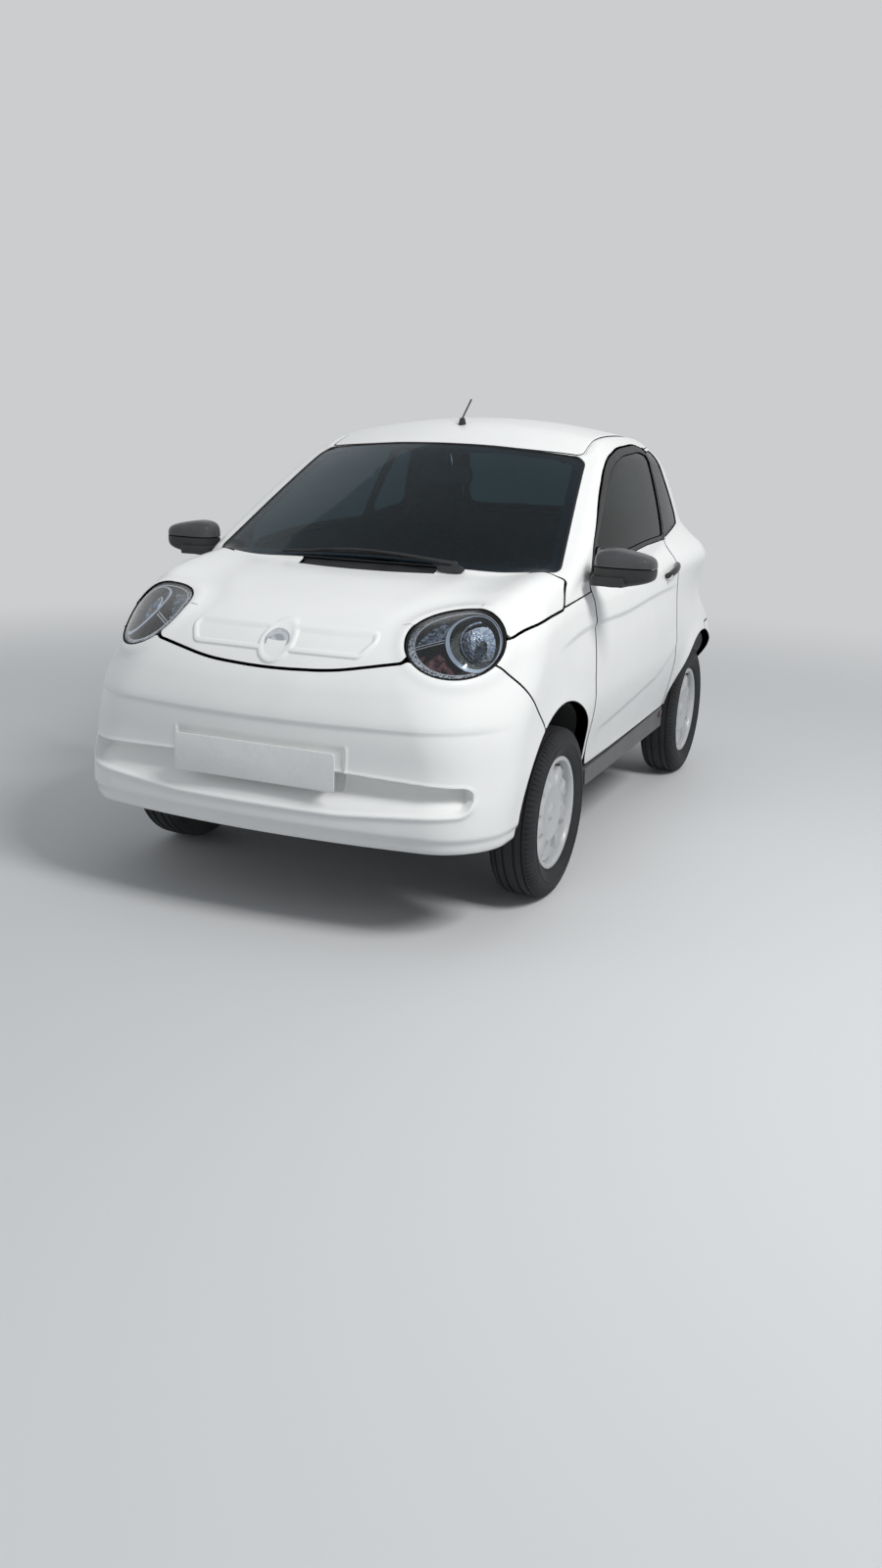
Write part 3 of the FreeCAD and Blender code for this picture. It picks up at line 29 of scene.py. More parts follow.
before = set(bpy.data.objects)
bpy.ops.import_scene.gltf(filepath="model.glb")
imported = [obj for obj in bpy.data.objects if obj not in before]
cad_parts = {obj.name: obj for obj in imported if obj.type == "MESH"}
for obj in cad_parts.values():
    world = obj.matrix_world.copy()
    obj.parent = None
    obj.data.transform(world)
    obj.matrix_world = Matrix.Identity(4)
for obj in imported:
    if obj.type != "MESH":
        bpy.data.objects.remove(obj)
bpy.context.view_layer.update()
MM = 0.001

# Overall sizes
LENGTH = 2750.0
WIDTH = 1450.0
HEIGHT = 1440.0
WHEELBASE = 1720.0
FRONT_OVERHANG = 648.0
UNDERSIDE_Z = 262.0
HALF_WIDTH = WIDTH / 2.0
NOSE_Y = -LENGTH / 2.0
TAIL_Y = LENGTH / 2.0
FRONT_AXLE_Y = NOSE_Y + FRONT_OVERHANG
REAR_AXLE_Y = FRONT_AXLE_Y + WHEELBASE
TYRE_RADIUS = 266.6
HUB_Z = TYRE_RADIUS
WHEEL_X = 632.0
ARCH_RADIUS = 345.0
PANEL_GAP = 3.6
# Rounding of a panel's edge, and how far along it its direction is read
EDGE = 2.0
EDGE_REACH = 3.5
# Turned-in edge of a panel, and the angles of its rounding
HEM = 9.0
EDGE_ANGLES = (0.0, 30.0, 60.0, 90.0)


# Curves and fields
def spline(rows):
    """Natural cubic through (place, value) rows, straight beyond its ends."""
    place = np.array([row[0] for row in rows], float)
    value = np.array([row[1] for row in rows], float)
    last = len(rows) - 1
    gap = np.diff(place)
    slope = np.diff(value) / gap
    system = np.eye(last + 1)
    right = np.zeros(last + 1)
    for i in range(1, last):
        system[i, i - 1:i + 2] = (gap[i - 1], 2.0 * (gap[i - 1] + gap[i]), gap[i])
        right[i] = 6.0 * (slope[i] - slope[i - 1])
    bend = np.linalg.solve(system, right)
    start = slope[0] - gap[0] * (2.0 * bend[0] + bend[1]) / 6.0
    end = slope[-1] + gap[-1] * (bend[-2] + 2.0 * bend[-1]) / 6.0

    def curve(t):
        t = np.asarray(t, float)
        i = np.clip(np.searchsorted(place, t, side="right") - 1, 0, last - 1)
        h = gap[i]
        a = t - place[i]
        b = place[i + 1] - t
        inner = (bend[i] * b ** 3 + bend[i + 1] * a ** 3) / (6.0 * h)
        inner = inner + (value[i] / h - bend[i] * h / 6.0) * b
        inner = inner + (value[i + 1] / h - bend[i + 1] * h / 6.0) * a
        below = value[0] + start * (t - place[0])
        above = value[-1] + end * (t - place[-1])
        return np.where(t < place[0], below, np.where(t > place[-1], above, inner))

    return curve


def ease(t, low, high):
    """0 below low, 1 above high, smooth between."""
    s = np.clip((t - low) / (high - low), 0.0, 1.0)
    return s * s * (3.0 - 2.0 * s)


def hill(t, centre, half):
    """Smooth bump of height 1 round a centre."""
    return np.exp(-((t - centre) / half) ** 2)


def both(a, b, radius):
    """Intersection of two level fields with a rounded edge."""
    near = (a > -radius) & (b > -radius)
    return np.where(near, np.hypot(a + radius, b + radius) - radius, np.maximum(a, b))


def either(a, b, radius):
    return -both(-a, -b, radius)


# Body form, the same tables as in the part
PLAN = spline([(NOSE_Y - 25, HALF_WIDTH - 45), (-1000, HALF_WIDTH - 28), (-710, HALF_WIDTH - 27),
               (-465, HALF_WIDTH - 19), (0, HALF_WIDTH - 6), (500, HALF_WIDTH - 1),
               (1010, HALF_WIDTH - 2), (1200, HALF_WIDTH - 11), (TAIL_Y + 25, HALF_WIDTH - 35)])
FLANK = spline([(150, -45), (280, -14), (400, 0), (520, 2), (660, 0), (800, -8), (900, -20),
                (1000, -42), (1100, -75)])
NOSE = spline([(200, NOSE_Y + 45), (270, NOSE_Y + 13), (350, NOSE_Y), (410, NOSE_Y + 7),
               (490, NOSE_Y + 23), (605, NOSE_Y + 30), (735, NOSE_Y + 77), (820, NOSE_Y + 113),
               (950, NOSE_Y + 175)])
TAIL = spline([(200, TAIL_Y - 45), (300, TAIL_Y - 9), (420, TAIL_Y), (600, TAIL_Y - 7),
               (800, TAIL_Y - 23), (950, TAIL_Y - 45), (1100, TAIL_Y - 85)])
DECK = spline([(NOSE_Y - 25, 745), (-1234, 825), (-1100, 877), (-900, 930), (-680, 966), (-450, 984),
               (0, 1000), (600, 1012), (1000, 1030), (TAIL_Y + 25, 1015)])
CORNER = spline([(200, 150), (350, 170), (600, 225), (800, 330), (1000, 340)])
CABIN = spline([(-800, HALF_WIDTH - 75), (-600, HALF_WIDTH - 60), (-300, HALF_WIDTH - 53),
                (0, HALF_WIDTH - 53), (300, HALF_WIDTH - 59), (600, HALF_WIDTH - 70),
                (900, HALF_WIDTH - 93), (1200, HALF_WIDTH - 135), (1400, HALF_WIDTH - 170)])
ROOF = spline([(-300, HEIGHT - 170), (-100, HEIGHT - 74), (73, HEIGHT - 24), (250, HEIGHT - 4),
               (400, HEIGHT), (700, HEIGHT - 12), (900, HEIGHT - 40), (1050, HEIGHT - 78),
               (1250, HEIGHT - 150)])
SCREEN = spline([(900, -795), (966, -690), (1100, -498), (1250, -273), (1358, -105), (1450, 45)])
BACKLIGHT = spline([(950, TAIL_Y - 90), (1050, TAIL_Y - 130), (1150, TAIL_Y - 188),
                    (1250, TAIL_Y - 257), (1350, TAIL_Y - 340), (1450, TAIL_Y - 440)])


def level(points):
    """Below zero inside the car's outer form, zero on its surface, roughly in millimetres."""
    x, y, z = np.abs(points[..., 0]), points[..., 1], points[..., 2]
    wheel_front = np.hypot(y - FRONT_AXLE_Y, z - HUB_Z)
    wheel_rear = np.hypot(y - REAR_AXLE_Y, z - HUB_Z)
    flare = (5.0 * hill(wheel_front, 315, 60) + 16.0 * hill(wheel_rear, 315, 65)) * ease(z, 380, 520)
    tuck = 46.0 * (1.0 - ease(z, 330, 600)) * ease(y, -600, -420) * (1.0 - ease(y, 700, 860))
    haunch = 38.0 * hill(z, 965, 95) * ease(y, 250, 950)
    waist = 12.0 * hill(z, 770, 90) * ease(y, 500, 1000)
    flank = x - (PLAN(y) + FLANK(z) + flare + haunch - tuck - waist)
    nose = NOSE(z) + x * x / 6500.0 - y
    squarer = 1.0 - ease(z, 580.0, 780.0)
    tail = y - TAIL(z) + x * x / (4000.0 + 2500.0 * squarer)
    crest = 22.0 * hill(x, 585, 110) * ease(y, -1150, -900) * (1.0 - ease(y, -500, -300))
    deck = z - (DECK(y) - x * x / 40000.0 + crest - 20.0 * ease(x, 560, 760))
    lower = both(flank, nose, CORNER(z))
    lower = both(lower, tail, 260.0 - 150.0 * squarer)
    lower = both(lower, deck, 95.0)
    lower = both(lower, UNDERSIDE_Z + 6.0 - z, 25.0)
    rise = z - 1000.0
    rise = 0.5 * (rise + np.hypot(rise, 60.0))
    side = (x - (CABIN(y) - 0.27 * rise - 0.00022 * rise * rise)) * 0.95
    wrap = 2.27e-4 + 2.69e-4 * np.clip((z - 986.0) / 342.0, 0.0, 1.2)
    screen = (SCREEN(z) + x * x * wrap - y) * 0.56
    roof = z - ROOF(y) + x * x / 4200.0
    rear = (y - BACKLIGHT(z) + x * x / 3200.0) * 0.8
    upper = both(side, screen, 35.0)
    upper = both(upper, rear, 110.0)
    upper = both(upper, roof, 70.0)
    upper = np.maximum(upper, 900.0 - z)
    return np.where(z < 880.0, lower, either(lower, upper, 12.0 + 50.0 * ease(y, 300, 900)))


# Search along a line: stride in millimetres, most strides, then steps that close in on the surface
STRIDE = 100.0
STRIDES = 15
CLOSING_STEPS = 8


def reach(origin, aim):
    """Distance from inner points along unit directions to the body surface."""
    shape = origin.shape[:-1]
    near = np.zeros(shape)
    far = np.full(shape, STRIDE)
    for _ in range(STRIDES):
        inside = level(origin + aim * far[..., None]) < 0.0
        if not inside.any():
            break
        near = np.where(inside, far, near)
        far = np.where(inside, far + STRIDE, far)
    low = level(origin + aim * near[..., None])
    high = level(origin + aim * far[..., None])
    for _ in range(CLOSING_STEPS):
        share = np.clip(low / np.minimum(low - high, -1e-9), 0.02, 0.98)
        middle = near + (far - near) * share
        value = level(origin + aim * middle[..., None])
        inside = value < 0.0
        high = np.where(inside, 0.5 * high, value)
        low = np.where(inside, value, 0.5 * low)
        near = np.where(inside, middle, near)
        far = np.where(inside, far, middle)
    return np.where(np.abs(low) < np.abs(high), near, far)


# Ways to aim at the surface
def stack(*parts):
    return np.stack(np.broadcast_arrays(*[np.asarray(part, float) for part in parts]), axis=-1)


def turn(degrees):
    return np.cos(np.radians(degrees)), np.sin(np.radians(degrees))


def aim_side(y, degrees, origin_x=250.0, origin_z=700.0):
    across, up = turn(degrees)
    return stack(origin_x, y, origin_z), stack(across, 0.0 * across, up)


def aim_wing(y, degrees):
    return aim_side(y, degrees, 300.0, 560.0)


def aim_plan(centre_y):
    def aim(degrees, z):
        across, along = turn(degrees)
        return stack(0.0, centre_y, z), stack(across, along, 0.0 * across)
    return aim


def aim_ball(centre_y, centre_z):
    def aim(across, along):
        across_cos, across_sin = turn(across)
        along_cos, along_sin = turn(along)
        direction = stack(across_sin, across_cos * along_sin, across_cos * along_cos)
        return np.broadcast_to(np.array([0.0, centre_y, centre_z]), direction.shape), direction
    return aim


def aim_up(x, y):
    return stack(x, y, 1100.0), stack(0.0, 0.0, 1.0 + 0.0 * x)


def aim_back(x, z):
    return stack(x, 700.0, z), stack(0.0, 1.0 + 0.0 * x, 0.0)


def aim_front(x, z):
    return stack(x, -700.0, z), stack(0.0 * x, -1.0, 0.0)


SCREEN_SLOPE = 33.6
SCREEN_CENTRE = np.array([0.0, -395.0, 1162.0])
SCREEN_ALONG = np.array([0.0, *turn(SCREEN_SLOPE)])
SCREEN_NORMAL = np.array([0.0, -SCREEN_ALONG[2], SCREEN_ALONG[1]])


def aim_screen(x, s):
    origin = SCREEN_CENTRE + stack(x, 0.0, 0.0) + s[..., None] * SCREEN_ALONG - SCREEN_NORMAL * 260.0
    return origin, np.broadcast_to(SCREEN_NORMAL, origin.shape)


def on_form(aim, sculpt=None):
    """Surface of two parameters on the body form; sculpt gives millimetres added outwards."""
    def surface(u, v):
        origin, direction = aim(u, v)
        direction = np.broadcast_to(direction, origin.shape)
        points = origin + direction * reach(origin, direction)[..., None]
        if sculpt is not None:
            points = points + direction * sculpt(points)[..., None]
        return points
    return surface


# Outlines: closed lines in a plane, with rounded corners
def rounded(points, radius=0.0, step=6.0):
    dense = []
    count = len(points)
    for i in range(count):
        before = np.array(points[i - 1][:2], float)
        here = np.array(points[i][:2], float)
        after = np.array(points[(i + 1) % count][:2], float)
        wanted = points[i][2] if len(points[i]) > 2 else radius
        back, ahead = before - here, after - here
        room = 0.49 * min(np.linalg.norm(back), np.linalg.norm(ahead))
        back /= np.linalg.norm(back)
        ahead /= np.linalg.norm(ahead)
        half = 0.5 * (math.pi - math.acos(max(-1.0, min(1.0, float(back @ ahead)))))
        cut = min(wanted * math.tan(half), room)
        if cut < 0.5 or half < 0.002:
            dense.append(here)
            continue
        bisector = back + ahead
        bisector /= np.linalg.norm(bisector)
        size = cut / math.tan(half)
        centre = here + bisector * (size / math.cos(half))
        first = here + back * cut - centre
        last = here + ahead * cut - centre
        sweep = 2.0 * half
        sign = 1.0 if first[0] * last[1] - first[1] * last[0] > 0 else -1.0
        pieces = max(2, int(math.ceil(sweep * size / (3.0 * step))), int(math.ceil(sweep / 0.14)))
        for k in range(pieces + 1):
            c, s = math.cos(sign * sweep * k / pieces), math.sin(sign * sweep * k / pieces)
            dense.append(centre + np.array([c * first[0] - s * first[1], s * first[0] + c * first[1]]))
    return np.array(dense)


PLANES = {
    "xy": (np.zeros(3), np.array([1.0, 0, 0]), np.array([0, 1.0, 0])),
    "xz": (np.zeros(3), np.array([1.0, 0, 0]), np.array([0, 0, 1.0])),
    "yz": (np.zeros(3), np.array([0, 1.0, 0]), np.array([0, 0, 1.0])),
    "screen": (SCREEN_CENTRE, np.array([1.0, 0, 0]), SCREEN_ALONG),
}


def outline_distance(flat, outline):
    """Signed distance to a closed line, below zero inside it, and the direction in which it grows."""
    a = outline
    b = np.roll(outline, -1, axis=0)
    run = b - a
    length = np.maximum((run ** 2).sum(1), 1e-9)
    best = np.full(len(flat), 1e18)
    away = np.zeros_like(flat)
    crossings = np.zeros(len(flat), int)
    for k in range(len(a)):
        t = np.clip(((flat - a[k]) @ run[k]) / length[k], 0.0, 1.0)
        gap = flat - (a[k] + t[:, None] * run[k])
        square = (gap ** 2).sum(1)
        closer = square < best
        best = np.where(closer, square, best)
        away[closer] = gap[closer]
        spans = (a[k, 1] > flat[:, 1]) != (b[k, 1] > flat[:, 1])
        with np.errstate(divide="ignore", invalid="ignore"):
            x = a[k, 0] + (flat[:, 1] - a[k, 1]) * run[k, 0] / run[k, 1]
        crossings += spans & (flat[:, 0] < x)
    sign = np.where(crossings % 2 == 1, -1.0, 1.0)
    distance = np.sqrt(best)
    direction = sign[:, None] * away / np.maximum(distance, 1e-6)[:, None]
    return sign * distance, direction


class Term:
    """One edge of a panel: keeps what lies inside or outside an outline, with a margin and a radius."""

    def __init__(self, plane, outline, side, margin=0.0, edge=EDGE, where=None):
        self.plane = PLANES[plane] if isinstance(plane, str) else plane
        self.outline = outline
        self.side = side
        self.margin = margin
        self.edge = edge
        self.where = where

    def value(self, points, normals):
        origin, first, second = self.plane
        local = points - origin
        flat = np.stack([local @ first, local @ second], axis=1)
        distance, direction = outline_distance(flat, self.outline)
        spatial = direction[:, :1] * first + direction[:, 1:] * second
        lost = (spatial * normals).sum(1)
        scale = np.sqrt(np.clip(1.0 - lost ** 2, 0.04, 1.0))
        if self.side == "inside":
            result = (distance + self.margin) / scale
        else:
            result = (self.margin - distance) / scale
        if self.where is not None:
            result = np.where(self.where(points), result, -1e6)
        return result


class Beyond(Term):
    """Keeps what lies outside the part that two outlines share."""

    def __init__(self, first, second, edge=EDGE):
        self.first = first
        self.second = second
        self.edge = edge

    def value(self, points, normals):
        return np.minimum(self.first.value(points, normals), self.second.value(points, normals))


class Half(Term):
    """Keeps what lies below a value of a plain function of the point."""

    def __init__(self, function, edge=EDGE):
        self.function = function
        self.edge = edge

    def value(self, points, normals):
        return self.function(points)


class Circle(Term):
    """Keeps what lies outside a round opening seen from the side."""

    def __init__(self, axle_y, radius, edge=EDGE):
        self.axle_y = axle_y
        self.radius = radius
        self.edge = edge

    def value(self, points, normals):
        away = points[:, 1:] - np.array([self.axle_y, HUB_Z])
        distance = np.hypot(away[:, 0], away[:, 1])
        spatial = away / np.maximum(distance, 1e-6)[:, None]
        lost = (spatial * normals[:, 1:]).sum(1)
        return (self.radius - distance) / np.sqrt(np.clip(1.0 - lost ** 2, 0.04, 1.0))


def field(terms, points, normals, rounding=True):
    """Largest of the terms, and which term that is."""
    values = np.stack([term.value(points, normals) + (term.edge if rounding else 0.0) for term in terms])
    return values.max(0), values.argmax(0)


def surface_normals(surface, u, v, step_u, step_v, out):
    along_u = surface(u + step_u, v) - surface(u - step_u, v)
    along_v = surface(u, v + step_v) - surface(u, v - step_v)
    normal = np.cross(along_u, along_v)
    normal /= np.maximum(np.linalg.norm(normal, axis=-1, keepdims=True), 1e-12)
    return normal * out


def clip(surface, us, vs, terms, rounding=True, out=1.0):
    """Part of a surface that its terms keep: points, normals, faces and edge loops with their terms."""
    us = np.asarray(us, float)
    vs = np.asarray(vs, float)
    grid_u, grid_v = np.meshgrid(us, vs, indexing="ij")
    points = surface(grid_u, grid_v)
    normals = np.cross(np.gradient(points, axis=0), np.gradient(points, axis=1))
    normals *= out / np.maximum(np.linalg.norm(normals, axis=-1, keepdims=True), 1e-12)
    shape = grid_u.shape
    values, _ = field(terms, points.reshape(-1, 3), normals.reshape(-1, 3), rounding)
    values = values.reshape(shape)
    inside = values < 0.0
    inside[0, :] = inside[-1, :] = False
    inside[:, 0] = inside[:, -1] = False
    step_u = 0.02 * (us[1] - us[0])
    step_v = 0.02 * (vs[1] - vs[0])
    keys = []
    ends = []
    pairs = []
    for axis in (0, 1):
        first = inside[:-1, :] if axis == 0 else inside[:, :-1]
        second = inside[1:, :] if axis == 0 else inside[:, 1:]
        for i, j in np.argwhere(first != second):
            i2, j2 = (i + 1, j) if axis == 0 else (i, j + 1)
            keys.append((axis, int(i), int(j)))
            inner, outer = ((i, j), (i2, j2)) if first[i, j] else ((i2, j2), (i, j))
            ends.append((us[inner[0]], vs[inner[1]], us[outer[0]], vs[outer[1]]))
            pairs.append((inner, outer))
    ends = np.array(ends)
    inner_normals = np.array([normals[inner] for inner, _ in pairs])
    outer_normals = np.array([normals[outer] for _, outer in pairs])
    low = np.zeros(len(ends))
    high = np.ones(len(ends))

    def place(t):
        return ends[:, 0] + (ends[:, 2] - ends[:, 0]) * t, ends[:, 1] + (ends[:, 3] - ends[:, 1]) * t

    for _ in range(CLOSING_STEPS):
        middle = 0.5 * (low + high)
        u, v = place(middle)
        normal = inner_normals + (outer_normals - inner_normals) * middle[:, None]
        kept = field(terms, surface(u, v), normal, rounding)[0] < 0.0
        low = np.where(kept, middle, low)
        high = np.where(kept, high, middle)
    u, v = place(0.5 * (low + high))
    edge_points = surface(u, v)
    edge_normals = surface_normals(surface, u, v, step_u, step_v, out)
    edge_terms = field(terms, edge_points, edge_normals, rounding)[1]

    ids = -np.ones(shape, int)
    chosen = np.argwhere(inside)
    ids[inside] = np.arange(len(chosen))
    base = len(chosen)
    crossing = {key: base + k for k, key in enumerate(keys)}
    full = inside[:-1, :-1] & inside[1:, :-1] & inside[1:, 1:] & inside[:-1, 1:]
    row, column = np.argwhere(full).T
    corners = [ids[row, column], ids[row + 1, column], ids[row + 1, column + 1], ids[row, column + 1]]
    faces = np.stack(corners, axis=1).tolist()
    some = (inside[:-1, :-1] | inside[1:, :-1] | inside[1:, 1:] | inside[:-1, 1:]) & ~full
    links = {}
    for i, j in np.argwhere(some):
        i, j = int(i), int(j)
        corner = [(i, j), (i + 1, j), (i + 1, j + 1), (i, j + 1)]
        border = [(0, i, j), (1, i + 1, j), (0, i, j + 1), (1, i, j)]
        ring = []
        kinds = []
        for k in range(4):
            if inside[corner[k]]:
                ring.append(int(ids[corner[k]]))
                kinds.append(0)
            if inside[corner[k]] != inside[corner[(k + 1) % 4]]:
                ring.append(crossing[border[k]])
                kinds.append(1 if inside[corner[k]] else 2)
        faces.append(ring)
        for k in range(len(ring)):
            if kinds[k] == 1 and kinds[(k + 1) % len(ring)] == 2:
                links[ring[k]] = ring[(k + 1) % len(ring)]
    all_points = np.concatenate([points[inside], edge_points])
    all_normals = np.concatenate([normals[inside], edge_normals])
    loops = []
    while links:
        start, following = links.popitem()
        loop = [start]
        while following != start and following in links:
            loop.append(following)
            following = links.pop(following)
        loops.append(loop)
    terms_of = dict(zip(range(base, base + len(edge_terms)), edge_terms))
    # Faces run so that their normal agrees with the given outward sign
    sample = faces[len(faces) // 2]
    a, b, c = (all_points[sample[k]] for k in range(3))
    if np.cross(b - a, c - b) @ all_normals[sample[0]] < 0.0:
        faces = [face[::-1] for face in faces]
        loops = [loop[::-1] for loop in loops]
    return all_points, all_normals, faces, loops, terms_of


def loop_outward(points, normals):
    """Direction that leaves a panel across its edge, in its surface."""
    closed = np.concatenate([points, points[:1]])
    place = np.concatenate([[0.0], np.cumsum(np.linalg.norm(np.diff(closed, axis=0), axis=1))])
    total = place[-1]
    tripled = np.concatenate([place[:-1] - total, place[:-1], place[:-1] + total])
    repeated = np.concatenate([points, points, points])

    def along(shift):
        return np.stack([np.interp(place[:-1] + shift, tripled, repeated[:, k]) for k in range(3)], axis=1)

    outward = np.cross(along(EDGE_REACH) - along(-EDGE_REACH), normals)
    return outward / np.maximum(np.linalg.norm(outward, axis=1, keepdims=True), 1e-9)


class Build:
    """Collects points, normals and faces for one mesh, in millimetres."""

    def __init__(self):
        self.points = []
        self.normals = []
        self.faces = []
        self.kinds = []
        self.count = 0

    def add(self, points, normals, faces, kind=0):
        self.points.append(points)
        self.normals.append(normals)
        offset = self.count
        self.faces += [[index + offset for index in face] for face in faces]
        self.kinds += [kind] * len(faces)
        self.count += len(points)

    def strip(self, first, second, first_normals, second_normals, kind):
        """Band of faces between two closed lines of points."""
        count = len(first)
        faces = [[k, (k + 1) % count, count + (k + 1) % count, count + k] for k in range(count)]
        points = np.concatenate([first, second])
        normals = np.concatenate([first_normals, second_normals])
        self.add(points, normals, faces, kind)

    def mirrored(self):
        twin = Build()
        flip = np.array([-1.0, 1.0, 1.0])
        twin.points = [points * flip for points in self.points]
        twin.normals = [normals * flip for normals in self.normals]
        twin.faces = [face[::-1] for face in self.faces]
        twin.kinds = list(self.kinds)
        twin.count = self.count
        return twin

    def joined(self, other):
        result = Build()
        for build in (self, other):
            offset = result.count
            result.points += build.points
            result.normals += build.normals
            result.faces += [[index + offset for index in face] for face in build.faces]
            result.kinds += build.kinds
            result.count += build.count
        return result

    def moved(self, offset):
        twin = Build().joined(self)
        twin.points = [points + np.array(offset, float) for points in self.points]
        return twin

    def object(self, name, materials, body, sharp=None):
        mesh = bpy.data.meshes.new(name)
        points = np.concatenate(self.points) * MM
        mesh.from_pydata(points.tolist(), [], self.faces)
        for material in materials:
            mesh.materials.append(material)
        mesh.polygons.foreach_set("material_index", np.array(self.kinds, np.int32))
        mesh.polygons.foreach_set("use_smooth", np.ones(len(self.faces), bool))
        mesh.update()
        if sharp is None:
            normals = np.concatenate(self.normals)
            normals /= np.maximum(np.linalg.norm(normals, axis=1, keepdims=True), 1e-9)
            mesh.normals_split_custom_set_from_vertices(normals.tolist())
        else:
            mesh.set_sharp_from_angle(angle=math.radians(sharp))
        piece = bpy.data.objects.new(name, mesh)
        bpy.context.scene.collection.objects.link(piece)
        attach(piece, body)
        return piece


def panel(surface, us, vs, terms, depth, out=1.0, coarse=3, start=0.0, kinds=(0, 1), hem=HEM):
    """Closed panel on a surface: smooth face, rounded edges, hem and inner skin."""
    build = Build()
    points, normals, faces, loops, term_of = clip(surface, us, vs, terms, True, out)
    build.add(points - normals * start, normals, faces, kinds[0])
    for loop in loops:
        if len(loop) < 3:
            continue
        index = np.array(loop)
        spots, ups = points[index], normals[index]
        radii = np.array([terms[term_of[k]].edge for k in loop])[:, None]
        outward = loop_outward(spots, ups)
        rings = []
        for angle in EDGE_ANGLES:
            c, s = math.cos(math.radians(angle)), math.sin(math.radians(angle))
            ring = spots + outward * radii * s - ups * (radii * (1.0 - c) + start)
            rings.append((ring, ups * c + outward * s))
        for (a, na), (b, nb) in zip(rings, rings[1:]):
            build.strip(a, b, na, nb, kinds[0])
        rim = rings[-1][0]
        turn_in = rim - ups * np.maximum(0.0, min(hem, depth - start) - radii)
        build.strip(rim, turn_in, outward, outward, kinds[0])
        if depth > hem:
            build.strip(turn_in, spots + outward * radii - ups * depth, outward, outward, kinds[1])
    us = np.asarray(us, float)
    vs = np.asarray(vs, float)
    inner_u = np.linspace(us[0], us[-1], max(8, len(us) // coarse))
    inner_v = np.linspace(vs[0], vs[-1], max(8, len(vs) // coarse))
    points, normals, faces, loops, term_of = clip(surface, inner_u, inner_v, terms, False, out)
    build.add(points - normals * depth, -normals, [face[::-1] for face in faces], kinds[1])
    return build


def slab(surface, us, vs, terms, depth, out=1.0, start=0.0):
    """Panel with the same finish on all its faces."""
    return panel(surface, us, vs, terms, depth, out, start=start, kinds=(0, 0))


def basis(axis):
    axis = np.array(axis, float) / np.linalg.norm(axis)
    helper = np.array([0.0, 0.0, 1.0]) if abs(axis[2]) < 0.9 else np.array([1.0, 0.0, 0.0])
    first = np.cross(helper, axis)
    first /= np.linalg.norm(first)
    return axis, first, np.cross(axis, first)


def grid_faces(rows, columns, wrap_rows, wrap_columns):
    """Faces between rows and columns of points; either direction may close on itself."""
    faces = []
    for i in range(rows if wrap_rows else rows - 1):
        for j in range(columns if wrap_columns else columns - 1):
            i2, j2 = (i + 1) % rows, (j + 1) % columns
            faces.append([i * columns + j, i2 * columns + j, i2 * columns + j2, i * columns + j2])
    return faces


def revolved(profile, angles, axis=(1.0, 0.0, 0.0), inward=None, kind=0):
    """Turned form from (radius, along) rows, the outside on their left; inward sinks points by angle."""
    axis, first, second = basis(axis)
    profile = np.array(profile, float)
    radius = profile[:, :1] + np.zeros(len(angles))
    along = profile[:, 1:2] + np.zeros(len(angles))
    if inward is not None:
        radius = radius - inward
    c, s = np.cos(angles), np.sin(angles)
    points = (along[..., None] * axis + (radius * c)[..., None] * first + (radius * s)[..., None] * second)
    build = Build()
    flat = points.reshape(-1, 3)
    build.add(flat, np.zeros_like(flat), grid_faces(len(profile), len(angles), True, True), kind)
    return build


def circle(count):
    return np.linspace(0.0, 2.0 * math.pi, count, endpoint=False)


def tube(path, radii, count=12, closed=False):
    """Round bar along a line of points, with its ends rounded off."""
    path = np.array(path, float)
    radii = np.zeros(len(path)) + radii
    if closed:
        runs = np.roll(path, -1, axis=0) - np.roll(path, 1, axis=0)
    else:
        runs = np.gradient(path, axis=0)
        run0 = (path[0] - path[1]) / np.linalg.norm(path[0] - path[1])
        run1 = (path[-1] - path[-2]) / np.linalg.norm(path[-1] - path[-2])
        bends = [(1.0, 0.05), (0.87, 0.5), (0.5, 0.87)]
        head = [path[0] + run0 * radii[0] * out for out, _ in bends]
        tail = [path[-1] + run1 * radii[-1] * out for out, _ in bends[::-1]]
        radii = np.concatenate([[radii[0] * size for _, size in bends], radii,
                                [radii[-1] * size for _, size in bends[::-1]]])
        path = np.concatenate([head, path, tail])
        runs = np.concatenate([[runs[0]] * 3, runs, [runs[-1]] * 3])
    rings = []
    side = basis(runs[0])[1]
    for spot, run, radius in zip(path, runs, radii):
        run = run / np.linalg.norm(run)
        side = side - run * (side @ run)
        side /= np.linalg.norm(side)
        other = np.cross(run, side)
        angle = circle(count)
        rings.append(spot + radius * (np.cos(angle)[:, None] * side + np.sin(angle)[:, None] * other))
    points = np.concatenate(rings)
    faces = [face[::-1] for face in grid_faces(len(rings), count, closed, True)]
    if not closed:
        last = (len(rings) - 1) * count
        faces.append([count - 1 - k for k in range(count)])
        faces.append([last + k for k in range(count)])
    build = Build()
    build.add(points, np.zeros_like(points), faces)
    return build


